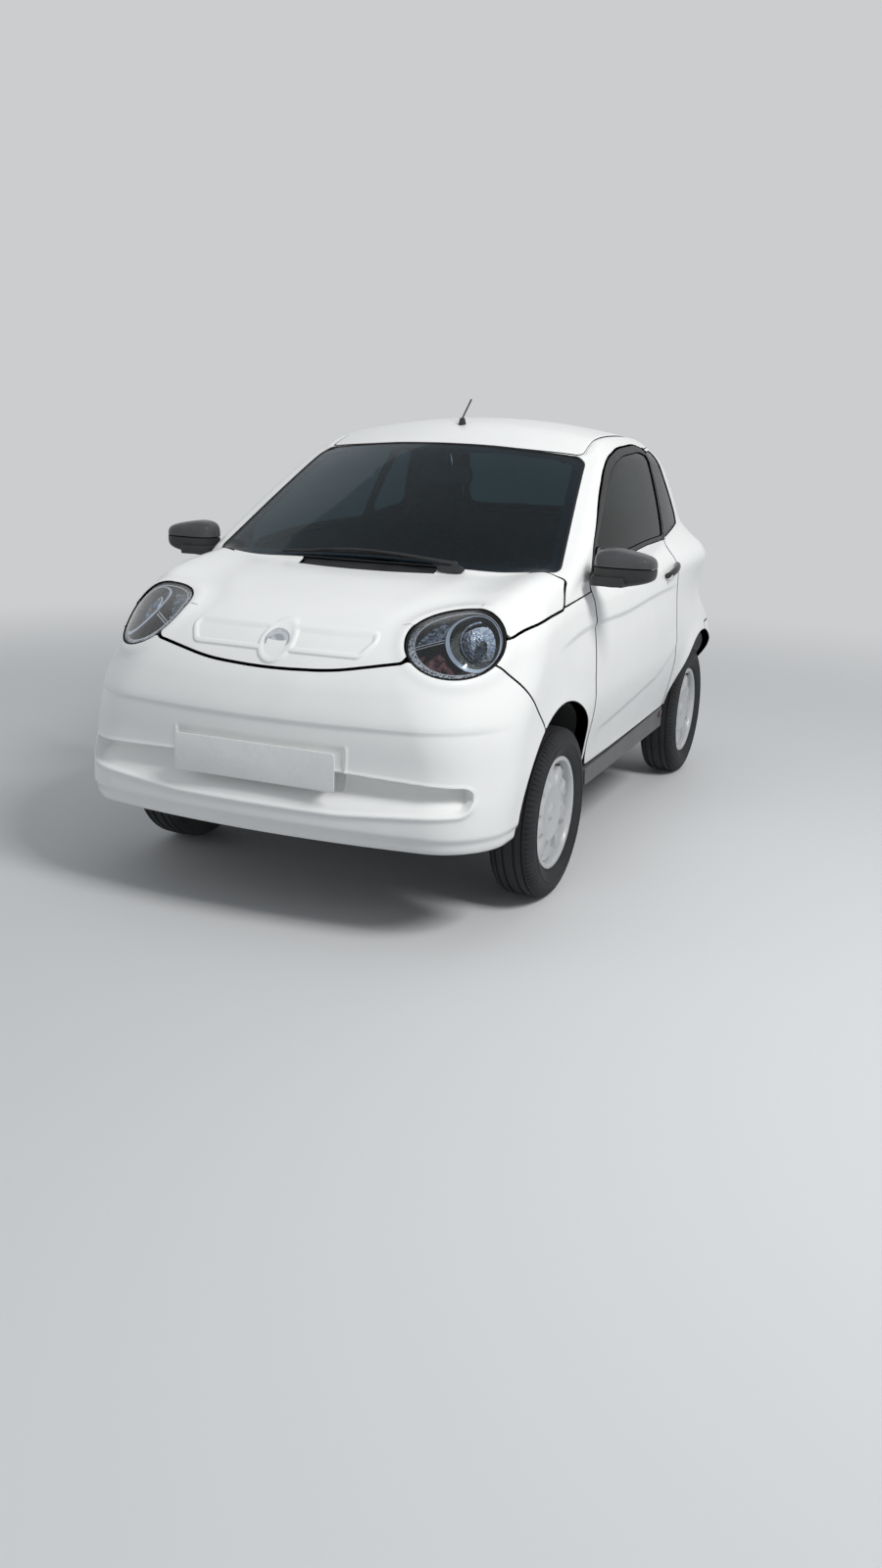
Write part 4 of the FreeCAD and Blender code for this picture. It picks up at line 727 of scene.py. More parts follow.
def pillow(centre, half, power, rows, columns, sculpt=None, tilt=0.0):
    """Rounded closed form: a ball pressed towards a box, with sculpt moving its points."""
    polar = np.linspace(0.0, math.pi, rows)
    around = circle(columns)
    direction = stack(np.sin(polar)[:, None] * np.cos(around), np.sin(polar)[:, None] * np.sin(around),
                      np.cos(polar)[:, None] + 0.0 * around)
    size = (np.abs(direction) ** power).sum(-1) ** (-1.0 / power)
    points = direction * size[..., None] * np.array(half, float)
    if sculpt is not None:
        points = sculpt(points)
    c, s = turn(tilt)
    x, y, z = points[..., 0], points[..., 1], points[..., 2]
    points = stack(x, c * y - s * z, s * y + c * z) + np.array(centre, float)
    inner = points[1:-1].reshape(-1, 3)
    flat = np.concatenate([inner, points[:1, 0], points[-1:, 0]])
    faces = grid_faces(rows - 2, columns, False, True)
    top, bottom, last = len(inner), len(inner) + 1, (rows - 3) * columns
    faces += [[top, k, (k + 1) % columns] for k in range(columns)]
    faces += [[bottom, last + (k + 1) % columns, last + k] for k in range(columns)]
    build = Build()
    build.add(flat, np.zeros_like(flat), faces)
    return build


def bar(outline, plane, low, high, bevel):
    """Flat outline carried along the third direction, its edges rounded off."""
    across, up = {"yz": (1, 2), "xz": (0, 2), "xy": (0, 1)}[plane]
    depth = 3 - across - up
    outline = np.array(outline, float)
    following = np.roll(outline, -1, axis=0)
    area = 0.5 * np.sum(outline[:, 0] * following[:, 1] - following[:, 0] * outline[:, 1])
    outline = outline if area > 0 else outline[::-1]
    run = np.roll(outline, -1, axis=0) - np.roll(outline, 1, axis=0)
    outward = np.stack([run[:, 1], -run[:, 0]], axis=1)
    outward /= np.maximum(np.linalg.norm(outward, axis=1, keepdims=True), 1e-9)
    levels = [(bevel * (1 - math.cos(a)), bevel * (1 - math.sin(a))) for a in (0.0, 0.5, 1.05, math.pi / 2)]
    rows = [(low + rise, cut) for rise, cut in levels] + [(high - rise, cut) for rise, cut in levels[::-1]]
    points = []
    for place_at, cut in rows:
        ring = np.zeros((len(outline), 3))
        ring[:, [across, up]] = outline - outward * cut
        ring[:, depth] = place_at
        points.append(ring)
    count = len(outline)
    faces = grid_faces(len(rows), count, False, True)
    faces.append(list(range(count)))
    faces.append([(len(rows) - 1) * count + k for k in range(count)][::-1])
    if plane != "xz":
        faces = [face[::-1] for face in faces]
    build = Build()
    build.add(np.concatenate(points), np.zeros((count * len(rows), 3)), faces)
    return build


def spread(low, high, step):
    return np.linspace(low, high, max(4, int(round((high - low) / step)) + 1))


def refined(low, high, step, *finer):
    """Even places, with closer ones in the given (low, high, step) stretches."""
    line = spread(low, high, step)
    for start, end, fine in finer:
        line = np.concatenate([line[(line < start - 0.4 * fine) | (line > end + 0.4 * fine)],
                               np.arange(start, end + 0.1 * fine, fine)])
    return np.sort(line)


# Outlines in side view (y, z, corner radius)
DOOR_LOWER = [(-345, 326, 20), (640, 352, 25), (578, 600, 400), (565, 760, 300), (565, 1011, 0),
              (281, 1010, 900), (-9, 997, 1500), (-437, 941, 0), (-437, 640, 250), (-400, 440, 250)]
DOOR_UPPER = [(-437, 941, 0), (-9, 997, 1500), (281, 1010, 900), (565, 1011, 0), (650, 1340, 30),
              (530, 1357, 900), (247, 1345, 900), (71, 1314, 600), (-34, 1277, 900), (-192, 1187, 1500),
              (-386, 1045, 900)]
DOOR_WHOLE = DOOR_LOWER[:4] + DOOR_UPPER[3:] + DOOR_LOWER[7:]
DOOR_GLASS = [(-322, 975, 8), (-9, 1015, 1500), (281, 1027, 900), (550, 1029, 20), (626, 1316, 22),
              (530, 1332, 900), (247, 1320, 900), (80, 1290, 600), (-25, 1253, 900), (-182, 1163, 1500),
              (-322, 1060, 25)]
QUARTER_GLASS = [(578, 1016, 15), (664, 1330, 18), (800, 1334, 60), (903, 1060, 30)]
RAIL_OUTLINE = [(-720, 894, 0), (-446, 917, 0), (-446, 930, 0), (560, 1200, 0), (670, 1342, 0),
                (830, 1346, 0), (1010, 1376, 0), (1010, 1500, 0), (-720, 1500, 0)]
QUARTER_OUTLINE = [(560, 352, 0), (1420, 352, 0), (1420, 1420, 0), (1010, 1376, 0), (830, 1346, 0),
                   (670, 1342, 0), (560, 1200, 0)]
WING_OUTLINE = [(-1120, 790, 0), (-1102, 777, 0), (-1051, 724, 0), (-1006, 673, 0), (-918, 590, 0),
                (-900, 560, 0), (-560, 250, 0), (-340, 250, 0), (-340, 322, 0), (-441, 640, 0),
                (-441, 917, 0), (-690, 895, 0), (-700, 1000, 0), (-1120, 1000, 0)]
BUMPER_SIDE = [(-1500, 200), (-1070, 200), (-900, 560), (-922, 590), (-1010, 673), (-1055, 724),
               (-1106, 777), (-1124, 790), (-1124, 900), (-1500, 900)]
# Outlines in front and rear view (x, z, corner radius)
BUMPER_OUTLINE = [(0, 737, 3000), (200, 746, 900), (392, 780, 20), (430, 800, 0), (760, 800, 0),
                  (760, 200, 0), (-760, 200, 0), (-760, 800, 0), (-430, 800, 0), (-392, 780, 20),
                  (-200, 746, 900)]
TAILGATE_OUTLINE = [(-500, 644, 40), (500, 644, 40), (516, 960, 200), (470, 1180, 900), (404, 1420, 60),
                    (-404, 1420, 60), (-470, 1180, 900), (-516, 960, 200)]
REAR_GLASS = [(-450, 1050, 60), (450, 1050, 60), (384, 1335, 60), (-384, 1335, 60)]
TAIL_LAMP = [(530, 700, 40), (622, 700, 40), (612, 930, 50), (528, 930, 40)]
# Outlines from above (x, y, corner radius)
ROOF_OUTLINE = [(-484, -6, 30), (-300, -62, 900), (0, -92, 3000), (300, -62, 900), (484, -6, 30),
                (468, 237, 1500), (450, 600, 1500), (424, 950, 20), (200, 966, 1500), (-200, 966, 1500),
                (-424, 950, 20), (-450, 600, 1500), (-468, 237, 1500)]
# Outline of the windscreen on its slope (x, s, corner radius)
SCREEN_OUTLINE = [(-612, -262, 45), (-420, -300, 900), (0, -322, 3000), (420, -300, 900), (612, -262, 45),
                  (499, 398, 55), (300, 370, 900), (0, 356, 3000), (-300, 370, 900), (-499, 398, 55)]

# Headlamp oval seen along its own axis
LAMP_CENTRE = np.array([494.0, -1097.0, 820.0])
LAMP_AIM = np.array([0.24, -0.76, 0.60]) / np.linalg.norm([0.24, -0.76, 0.60])
LAMP_SIDE = np.cross([0.0, 0.0, 1.0], LAMP_AIM)
LAMP_SIDE /= np.linalg.norm(LAMP_SIDE)
LAMP_UP = np.cross(LAMP_AIM, LAMP_SIDE)
if LAMP_SIDE[0] < 0:
    LAMP_SIDE = -LAMP_SIDE
if LAMP_UP[2] < 0:
    LAMP_UP = -LAMP_UP
LAMP_TILT = 38.0
LAMP_MAJOR = LAMP_SIDE * turn(LAMP_TILT)[0] + LAMP_UP * turn(LAMP_TILT)[1]
LAMP_MINOR = np.cross(LAMP_AIM, LAMP_MAJOR)
LAMP_HALF = (141.5, 123.0)
LAMP_PLANE = (LAMP_CENTRE, LAMP_MAJOR, LAMP_MINOR)
LAMP_PLANE_RIGHT = tuple(v * np.array([-1.0, 1.0, 1.0]) for v in LAMP_PLANE)


def oval(half_long, half_short, count=72):
    angle = np.linspace(0.0, 2.0 * math.pi, count, endpoint=False)
    return np.stack([half_long * np.cos(angle), half_short * np.sin(angle)], axis=1)


LAMP_OVAL = oval(*LAMP_HALF)
DOOR_WHOLE_LINE = rounded(DOOR_WHOLE)
ROOF_LINE = rounded(ROOF_OUTLINE)
TAILGATE_LINE = rounded(TAILGATE_OUTLINE)
SCREEN_LINE = rounded(SCREEN_OUTLINE)
QUARTER_GLASS_LINE = rounded(QUARTER_GLASS)
DOOR_GLASS_LINE = rounded(DOOR_GLASS)


# Materials
def material(name, colour, roughness=0.5, metallic=0.0, **sockets):
    made = bpy.data.materials.new(name)
    made.use_nodes = True
    made.diffuse_color = (*colour, 1.0)
    shader = made.node_tree.nodes["Principled BSDF"]
    shader.inputs["Base Color"].default_value = (*colour, 1.0)
    shader.inputs["Roughness"].default_value = roughness
    shader.inputs["Metallic"].default_value = metallic
    for socket, value in sockets.items():
        shader.inputs[socket.replace("_", " ")].default_value = value
    return made


def noise(made, scale, detail=4.0, rough=0.6):
    nodes, links = made.node_tree.nodes, made.node_tree.links
    coordinates = nodes.new("ShaderNodeTexCoord")
    texture = nodes.new("ShaderNodeTexNoise")
    texture.inputs["Scale"].default_value = scale
    texture.inputs["Detail"].default_value = detail
    texture.inputs["Roughness"].default_value = rough
    links.new(coordinates.outputs["Object"], texture.inputs["Vector"])
    return texture.outputs["Fac"]


def ramp(made, source, low, high, low_place=0.3, high_place=0.7):
    """Value or colour that follows a texture between two ends."""
    nodes, links = made.node_tree.nodes, made.node_tree.links
    node = nodes.new("ShaderNodeValToRGB")
    node.color_ramp.elements[0].position = low_place
    node.color_ramp.elements[1].position = high_place
    node.color_ramp.elements[0].color = (*low, 1.0) if len(low) == 3 else (low[0],) * 3 + (1.0,)
    node.color_ramp.elements[1].color = (*high, 1.0) if len(high) == 3 else (high[0],) * 3 + (1.0,)
    links.new(source, node.inputs["Fac"])
    return node.outputs["Color"]


def feed(made, source, socket):
    shader = made.node_tree.nodes["Principled BSDF"]
    made.node_tree.links.new(source, shader.inputs[socket])


def bump(made, source, strength, distance):
    nodes, links = made.node_tree.nodes, made.node_tree.links
    node = nodes.new("ShaderNodeBump")
    node.inputs["Strength"].default_value = strength
    node.inputs["Distance"].default_value = distance
    links.new(source, node.inputs["Height"])
    feed(made, node.outputs["Normal"], "Normal")


def make_paint():
    made = material("body_paint", (0.86, 0.86, 0.845), 0.34, 0.0, Coat_Weight=0.35, Coat_Roughness=0.16)
    feed(made, ramp(made, noise(made, 6.0), (0.845, 0.845, 0.83), (0.875, 0.875, 0.86)), "Base Color")
    feed(made, ramp(made, noise(made, 28.0), (0.30,), (0.40,)), "Roughness")
    bump(made, noise(made, 420.0, 2.0), 0.05, 0.0006)
    return made


def make_grained(name, colour, roughness, scale=900.0, strength=0.35):
    made = material(name, colour, roughness)
    lighter = tuple(min(1.0, 1.35 * c + 0.004) for c in colour)
    feed(made, ramp(made, noise(made, 14.0), colour, lighter), "Base Color")
    bump(made, noise(made, scale, 3.0, 0.7), strength, 0.0008)
    return made


def voronoi(made, scale, output="Distance"):
    nodes, links = made.node_tree.nodes, made.node_tree.links
    coordinates = nodes.new("ShaderNodeTexCoord")
    texture = nodes.new("ShaderNodeTexVoronoi")
    texture.inputs["Scale"].default_value = scale
    links.new(coordinates.outputs["Object"], texture.inputs["Vector"])
    return texture.outputs[output]


def make_metal(name, dark, light, roughness, metallic, scale=30.0, grain=600.0, strength=0.15,
               uneven=0.25):
    """Metal with cloudy colour, uneven gloss and a fine grain."""
    made = material(name, light, roughness, metallic)
    feed(made, ramp(made, noise(made, scale), dark, light), "Base Color")
    rougher = min(1.0, (1.0 + uneven) * roughness)
    feed(made, ramp(made, noise(made, 2.3 * scale), ((1.0 - uneven) * roughness,), (rougher,)), "Roughness")
    if strength:
        bump(made, noise(made, grain, 3.0), strength, 0.0005)
    return made


def make_facets_with_painted_glints(name, dark, light, scale, roughness=0.12):
    """Reflector with many small bright facets: the bump gives them real relief, while their colours,
    lighter and darker cell by cell, are painted glints and painted shade.
    """
    made = material(name, light, roughness, 1.0)
    feed(made, ramp(made, voronoi(made, scale, "Color"), dark, light, 0.35, 0.65), "Base Color")
    bump(made, voronoi(made, scale), 0.9, 0.0015)
    return made


def make_glass(name, colour, ripple=0.0, index=1.45):
    made = material(name, colour, 0.0, Transmission_Weight=1.0, IOR=index)
    lighter = tuple(min(1.0, 1.06 * c) for c in colour)
    feed(made, ramp(made, noise(made, 3.0), colour, lighter), "Base Color")
    feed(made, ramp(made, noise(made, 45.0), (0.0,), (0.03,)), "Roughness")
    if ripple:
        bump(made, noise(made, 5.0, 1.0), ripple, 0.001)
    return made


def make_cloth(name, dark, light):
    """Woven seat cover: fine threads both ways over a cloudy colour."""
    made = material(name, light, 0.9, Sheen_Weight=0.35, Sheen_Roughness=0.4)
    nodes, links = made.node_tree.nodes, made.node_tree.links
    coordinates = nodes.new("ShaderNodeTexCoord")
    heights = []
    for direction in ("X", "Z"):
        wave = nodes.new("ShaderNodeTexWave")
        wave.bands_direction = direction
        wave.inputs["Scale"].default_value = 210.0
        wave.inputs["Distortion"].default_value = 0.8
        links.new(coordinates.outputs["Object"], wave.inputs["Vector"])
        heights.append(wave.outputs["Fac"])
    weave = nodes.new("ShaderNodeMath")
    weave.operation = "MULTIPLY"
    links.new(heights[0], weave.inputs[0])
    links.new(heights[1], weave.inputs[1])
    feed(made, ramp(made, noise(made, 60.0), dark, light), "Base Color")
    bump(made, weave.outputs["Value"], 0.5, 0.0012)
    return made


paint = make_paint()
black_trim = make_grained("black_trim", (0.018, 0.018, 0.019), 0.48)
black_gloss = make_metal("black_gloss", (0.006, 0.006, 0.007), (0.012, 0.012, 0.013), 0.14, 0.0, 20.0,
                         500.0, 0.03)
inner_trim = make_grained("inner_trim", (0.11, 0.11, 0.115), 0.62)
dash_plastic = make_grained("dash_plastic", (0.05, 0.052, 0.056), 0.55, 700.0, 0.5)
mirror_grey = make_grained("mirror_grey", (0.05, 0.051, 0.054), 0.3, 1400.0, 0.12)
sill_grey = make_grained("sill_grey", (0.075, 0.075, 0.078), 0.4, 900.0, 0.3)
frame_metal = make_metal("frame_metal", (0.025, 0.025, 0.027), (0.05, 0.05, 0.053), 0.42, 0.1)
engine_metal = make_metal("engine_metal", (0.16, 0.16, 0.165), (0.3, 0.3, 0.31), 0.5, 0.8, 18.0, 160.0, 0.5)
exhaust_metal = make_metal("exhaust_metal", (0.2, 0.17, 0.14), (0.42, 0.4, 0.37), 0.36, 0.9, 12.0, 300.0,
                           0.3)
drum_metal = make_metal("drum_metal", (0.05, 0.045, 0.04), (0.13, 0.12, 0.11), 0.55, 0.7, 25.0, 250.0, 0.5)
window_glass = make_glass("window_glass", (0.05, 0.08, 0.075), index=1.16)
screen_glass = make_glass("screen_glass", (0.22, 0.36, 0.45), index=1.33)
lens_clear = make_glass("lens_clear", (0.93, 0.96, 1.0), 0.02)
lens_red = make_glass("lens_red", (0.62, 0.02, 0.02), 0.05)
chrome = make_metal("chrome", (0.74, 0.76, 0.79), (0.82, 0.84, 0.87), 0.08, 1.0, 12.0, 200.0, 0.0, 0.1)
# Chrome ring tinted light blue: the blue is a painted reflection of the sky
ring_painted_sky_blue = make_metal("ring_painted_sky_blue", (0.6, 0.7, 0.84), (0.72, 0.82, 0.95), 0.24, 0.7, 12.0, 200.0,
                         0.0, 0.06)
# Bowl reflector tinted blue: the blue is a painted reflection of the sky
bowl_painted_sky_blue = make_facets_with_painted_glints("lamp_reflector_painted_sky_blue", (0.42, 0.5, 0.64), (0.78, 0.86, 0.97), 120.0, 0.14)
lamp_speckle = make_facets_with_painted_glints("lamp_speckle", (0.16, 0.17, 0.19), (0.85, 0.87, 0.9), 260.0, 0.22)
lamp_dark = make_facets_with_painted_glints("lamp_dark", (0.02, 0.03, 0.05), (0.3, 0.36, 0.46), 150.0, 0.18)
lamp_signal = make_facets_with_painted_glints("lamp_signal", (0.03, 0.022, 0.03), (0.22, 0.1, 0.1), 120.0, 0.2)
lamp_shade = make_metal("lamp_shade", (0.1, 0.11, 0.1), (0.2, 0.21, 0.2), 0.25, 0.9)
rubber = make_grained("tyre_rubber", (0.013, 0.013, 0.014), 0.7, 260.0, 0.15)
seal = make_grained("seal_rubber", (0.01, 0.01, 0.011), 0.5, 500.0, 0.2)
silver = make_metal("wheel_silver", (0.56, 0.565, 0.57), (0.6, 0.605, 0.61), 0.3, 0.5, 8.0, 260.0, 0.0,
                    0.04)
seat_cloth = make_cloth("seat_cloth", (0.035, 0.036, 0.04), (0.07, 0.072, 0.078))
plate_white = make_metal("plate_white", (0.8, 0.8, 0.79), (0.84, 0.84, 0.83), 0.3, 0.0, 9.0, 300.0, 0.1)
mirror_glass = make_metal("mirror_glass", (0.7, 0.72, 0.74), (0.76, 0.78, 0.8), 0.04, 1.0, 8.0, 200.0, 0.01)
liner_felt = make_grained("liner_felt", (0.012, 0.012, 0.013), 0.9, 240.0, 0.8)


# Body panels
def keep(plane, line, margin=0.0, edge=EDGE, where=None):
    return Term(plane, line, "inside", margin, edge, where)


def drop(plane, line, margin=0.0, edge=EDGE, where=None):
    return Term(plane, line, "outside", margin, edge, where)


def raw(points):
    return np.array([point[:2] for point in points], float)


def left_side(points):
    return points[:, 0] > 0


def place(name, build, materials, body, nodes, slot, sharp=None):
    """Piece that rides on a body; nodes lists the solids it stands for."""
    piece = build.object(name, materials, body, sharp)
    if nodes:
        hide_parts(*nodes)
    return piece


def both_sides(name, build, materials, body, nodes, slot, sharp=None):
    """The same piece on the left and mirrored on the right; body and nodes may name their side."""
    for side in ("left", "right"):
        shape = build if side == "left" else build.mirrored()
        wanted = [node.replace("SIDE", side) for node in nodes if "SIDE" in node or side == "left"]
        place(name + "_" + side, shape, materials, body.replace("SIDE", side), wanted, slot, sharp)


# Relief on the body form, in millimetres outwards
CREASE = spline([(-760, 778), (-690, 789), (-538, 809), (-117, 816), (127, 828), (471, 839), (600, 842)])
LAMP_SWELL = 6.0
CREASE_HEIGHT = 3.4


def lamp_distance(points):
    """Distance from the headlamp's oval, seen along its axis."""
    mirrored = points * np.where(points[..., :1] < 0, np.array([-1.0, 1.0, 1.0]), 1.0)
    local = mirrored - LAMP_CENTRE
    u, v = local @ LAMP_MAJOR, local @ LAMP_MINOR
    share = np.hypot(u / LAMP_HALF[0], v / LAMP_HALF[1])
    return (share - 1.0) * np.hypot(u, v) / np.maximum(share, 1e-3)


def step_over(t, above, below, sharp):
    """Bulge on one side of a line and hollow on the other, fading away from it."""
    side = ease(t, -sharp, sharp)
    return side * np.exp(-(t / above) ** 2) - (1.0 - side) * np.exp(-(t / below) ** 2)


def relief(points):
    y, z = points[..., 1], points[..., 2]
    swell = lamp_distance(points)
    near_lamp = (y < -800) & (z > 600)
    rim = LAMP_SWELL * hill(swell, 14.0, 20.0) - 4.0 * hill(swell, 62.0, 30.0) * ease(z, 820, 900)
    along = ease(y, -800, -600) * (1.0 - ease(y, 430, 600)) * (np.abs(points[..., 0]) > 560)
    crease = CREASE_HEIGHT * along * step_over(z - CREASE(y), 46.0, 70.0, 7.0)
    sill_line = z - (430.0 + 0.12 * (y + 400.0) + 90.0 * ease(y, 300, 760))
    lower = 2.2 * step_over(sill_line, 60.0, 50.0, 14.0) * ease(y, -380, -200) * (1.0 - ease(y, 560, 640))
    return np.where(near_lamp, rim, 0.0) + crease + lower


ARCH_EDGE = 4.0
DOOR_DEPTH = 48.0
QUARTER_DEPTH = 34.0
BUMPER_DEPTH = 30.0
BUMPER_FOOT_Z = 276.0


def door_panel():
    return panel(on_form(aim_side, relief), spread(-500, 700, 11.0),
                 refined(-48, 42, 1.4, (8, 22, 0.7), (-31, -20, 0.8)), [keep("yz", rounded(DOOR_LOWER))],
                 DOOR_DEPTH)


def frame_panel():
    return panel(on_form(aim_side), spread(-500, 700, 11.0), spread(18, 76, 1.1),
                 [keep("yz", rounded(DOOR_UPPER)), drop("yz", DOOR_GLASS_LINE)], 26.0)


PILLAR = rounded([(572, 1004, 3), (657, 1343, 3), (676, 1343, 3), (592, 1004, 3)])
PILLAR_GAP = rounded([(555, 1013, 0), (640, 1345, 0), (674, 1345, 0), (590, 1013, 0)])


def pillar_panel():
    """Black strip between the door's frame and the fixed side window."""
    terms = [keep("yz", PILLAR, 0.0, 1.0), drop("yz", DOOR_WHOLE_LINE, PANEL_GAP, 1.0),
             drop("yz", QUARTER_GLASS_LINE, 0.8, 0.6)]
    return slab(on_form(aim_side), spread(565, 685, 1.5), spread(30, 60, 0.5), terms, 8.0)


def ditch(points):
    """Bead and groove along the roof's edge."""
    away = outline_distance(points.reshape(-1, 3)[:, :2], ROOF_LINE)[0].reshape(points.shape[:-1])
    return -3.0 * hill(away, 4.0, 6.0) + 3.0 * hill(away, 22.0, 10.0)


def rail_panel():
    terms = [keep("yz", raw(RAIL_OUTLINE)), drop("yz", DOOR_WHOLE_LINE, PANEL_GAP),
             drop("screen", SCREEN_LINE, 2.5, 2.0), drop("xy", ROOF_LINE, 3.0, 2.0),
             drop("yz", QUARTER_GLASS_LINE, 0.5), drop("yz", PILLAR_GAP),
             drop("xz", TAILGATE_LINE, PANEL_GAP, where=lambda p: p[:, 1] > 900), beyond_bonnet()]
    return panel(on_form(aim_side, lambda p: ditch(p) * ease(p[..., 2], 1180, 1260)),
                 spread(-730, 1020, 10.0), spread(14, 92, 0.9), terms, 32.0)


def quarter_panel():
    terms = [keep("yz", raw(QUARTER_OUTLINE)), drop("yz", DOOR_WHOLE_LINE, PANEL_GAP),
             drop("yz", QUARTER_GLASS_LINE, 0.5), drop("yz", PILLAR_GAP),
             drop("xz", TAILGATE_LINE, PANEL_GAP, where=lambda p: p[:, 1] > 960),
             Half(lambda p: np.minimum(642.0 - p[:, 2], p[:, 1] - REAR_AXLE_Y - 58.0)),
             Circle(REAR_AXLE_Y, ARCH_RADIUS, ARCH_EDGE),
             drop("xy", ROOF_LINE, 3.0, 2.0, where=lambda p: p[:, 2] > 1250),
             drop("xz", rounded(TAIL_LAMP), 1.0, where=lambda p: p[:, 1] > 900)]
    return panel(on_form(aim_plan(820), relief), spread(-32, 76, 0.85), spread(330, 1382, 11.0), terms,
                 QUARTER_DEPTH, hem=QUARTER_DEPTH)


def wing_panel():
    terms = [keep("yz", raw(WING_OUTLINE)), beyond_bonnet(),
             drop(LAMP_PLANE, LAMP_OVAL, 2.0), drop("yz", DOOR_WHOLE_LINE, PANEL_GAP),
             Circle(FRONT_AXLE_Y, ARCH_RADIUS, ARCH_EDGE)]
    return panel(on_form(aim_wing, relief), spread(-1200, -380, 7.0), refined(-52, 98, 1.0, (24, 46, 0.7)),
                 terms, 24.0)


PLATE_WIDTH = 520.0
PLATE_HEIGHT = 110.0
PLATE_Z = 486.0
SLOT_LINE = rounded([(-634, 462, 26), (-260, 480, 300), (260, 480, 300), (634, 462, 26), (612, 396, 30),
                     (260, 372, 300), (-260, 372, 300), (-612, 396, 30)])


def bumper_sculpt(points):
    z = points[..., 2]
    flat = points.reshape(-1, 3)[:, [0, 2]]
    away = outline_distance(flat, SLOT_LINE)[0].reshape(z.shape)
    inside = 1.0 - ease(away, -5.0, 1.0)
    depth = 3.0 + 45.0 * ease(z, 372.0, 452.0)
    lip = 5.0 * hill(away, 5.0, 9.0) * (1.0 - ease(z, 400, 450))
    brow = 2.0 * hill(away, 5.0, 5.0) * ease(z, 440, 470)
    crease = 2.6 * step_over(z - 605.0 - 6.0 * (points[..., 0] / 500.0) ** 2, 60.0, 60.0, 10.0)
    crease = crease * (1.0 - ease(np.abs(points[..., 0]), 610, 700))
    fold = 3.0 * step_over(z - 318.0, 30.0, 40.0, 8.0)
    half_x = np.abs(points[..., 0]) - (PLATE_WIDTH / 2.0 + 12.0)
    half_z = np.abs(z - PLATE_Z) - (PLATE_HEIGHT / 2.0 + 8.0)
    carrier = -5.0 * (1.0 - ease(np.maximum(half_x, half_z), -4.0, 2.0))
    carrier = carrier + 3.0 * hill(half_x, 4.0, 5.0) * (half_z < 0)
    return relief(points) - depth * inside + lip + brow + crease + fold + carrier


def bumper_panel():
    terms = [keep("xz", rounded(BUMPER_OUTLINE)), keep("yz", raw(BUMPER_SIDE)),
             Half(lambda p: BUMPER_FOOT_Z - p[:, 2], 5.0), Circle(FRONT_AXLE_Y, ARCH_RADIUS, ARCH_EDGE),
             drop(LAMP_PLANE, LAMP_OVAL, 2.0, where=left_side),
             drop(LAMP_PLANE_RIGHT, LAMP_OVAL, 2.0, where=lambda p: p[:, 0] < 0),
             drop("xz", BONNET_FRONT_LINE, PANEL_GAP, where=lambda p: p[:, 2] > 700)]
    columns = refined(-166, -14, 0.7, (-139, -130, 0.25), (-114, -108, 0.25), (-72, -66, 0.25),
                      (-50, -41, 0.25))
    rows = refined(268, 815, 7.0, (362, 490, 2.6), (592, 618, 4.0))
    return panel(on_form(aim_plan(-560), bumper_sculpt), columns, rows, terms, BUMPER_DEPTH)


# Front edge of the bonnet in front view (x, z, corner radius), closed far above
BONNET_FRONT = [(0, 742, 3000), (200, 751, 900), (392, 785, 20), (420, 830, 0), (700, 1200, 0),
                (-700, 1200, 0), (-420, 830, 0), (-392, 785, 20), (-200, 751, 900)]
BONNET_FRONT_LINE = rounded(BONNET_FRONT)
BONNET_REST = [(0, -1330, 3000), (200, -1330, 900), (430, -1300, 0), (432, -1120, 50), (480, -1068, 50),
               (560, -1062, 40), (600, -1075, 10), (720, -1080, 0), (720, -640, 0), (668, -610, 30),
               (630, -596, 20), (400, -664, 900), (0, -728, 3000)]
BONNET_REST_LINE = rounded(BONNET_REST + [(-x, y, size) for x, y, size in BONNET_REST[-2:0:-1]])
BONNET_SIDE_LINE = rounded([(-1500, 838, 0), (-1045, 843, 200), (-944, 866, 600), (-829, 883, 600),
                            (-708, 892, 45), (-592, 966, 0), (-592, 1500, 0), (-1500, 1500, 0)])


def bonnet_sides(points):
    return np.abs(points[:, 0]) > 520


def beyond_bonnet():
    return Beyond(drop("xy", BONNET_REST_LINE, PANEL_GAP),
                  drop("yz", BONNET_SIDE_LINE, PANEL_GAP, where=bonnet_sides))


BAND_LINE = rounded([(-318, 850, 22), (318, 850, 22), (268, 782, 26), (-268, 782, 26)])
BAND_WIDTH = 12.0
BAND_HEIGHT = 5.0
BADGE_Z = 807.0
BOSS_RADIUS = 56.0


def bonnet_sculpt(points):
    x, y, z = points[..., 0], points[..., 1], points[..., 2]
    flat = points.reshape(-1, 3)[:, [0, 2]]
    away = outline_distance(flat, BAND_LINE)[0].reshape(z.shape)
    band = ease(away, -BAND_WIDTH - 2.5, -BAND_WIDTH + 2.5) * (1.0 - ease(away, -2.5, 2.5))
    from_badge = np.hypot(x, z - BADGE_Z)
    boss = 1.0 - ease(from_badge, BOSS_RADIUS - 5.0, BOSS_RADIUS + 4.0)
    dish = -2.0 * (1.0 - ease(from_badge, 38.0, 46.0))
    raised = np.maximum(band, boss) * BAND_HEIGHT + dish
    front = 1.0 - ease(y, -1120, -1080)
    ridge = 3.0 * hill(np.abs(x), 300.0 + 0.22 * (y + 1000.0), 60.0) * ease(y, -1080, -900)
    return relief(points) + raised * front + ridge


def bonnet_panel():
    terms = [keep("xy", BONNET_REST_LINE), keep("xz", BONNET_FRONT_LINE, where=lambda p: p[:, 1] < -1100),
             keep("yz", BONNET_SIDE_LINE, where=bonnet_sides),
             drop(LAMP_PLANE, LAMP_OVAL, PANEL_GAP, where=left_side),
             drop(LAMP_PLANE_RIGHT, LAMP_OVAL, PANEL_GAP, where=lambda p: p[:, 0] < 0)]
    return panel(on_form(aim_ball(-740, 330), bonnet_sculpt), refined(-53, 53, 0.8, (-35, 35, 0.27)),
                 refined(-66, 18, 0.8, (-53.5, -42.5, 0.17)), terms, 18.0)


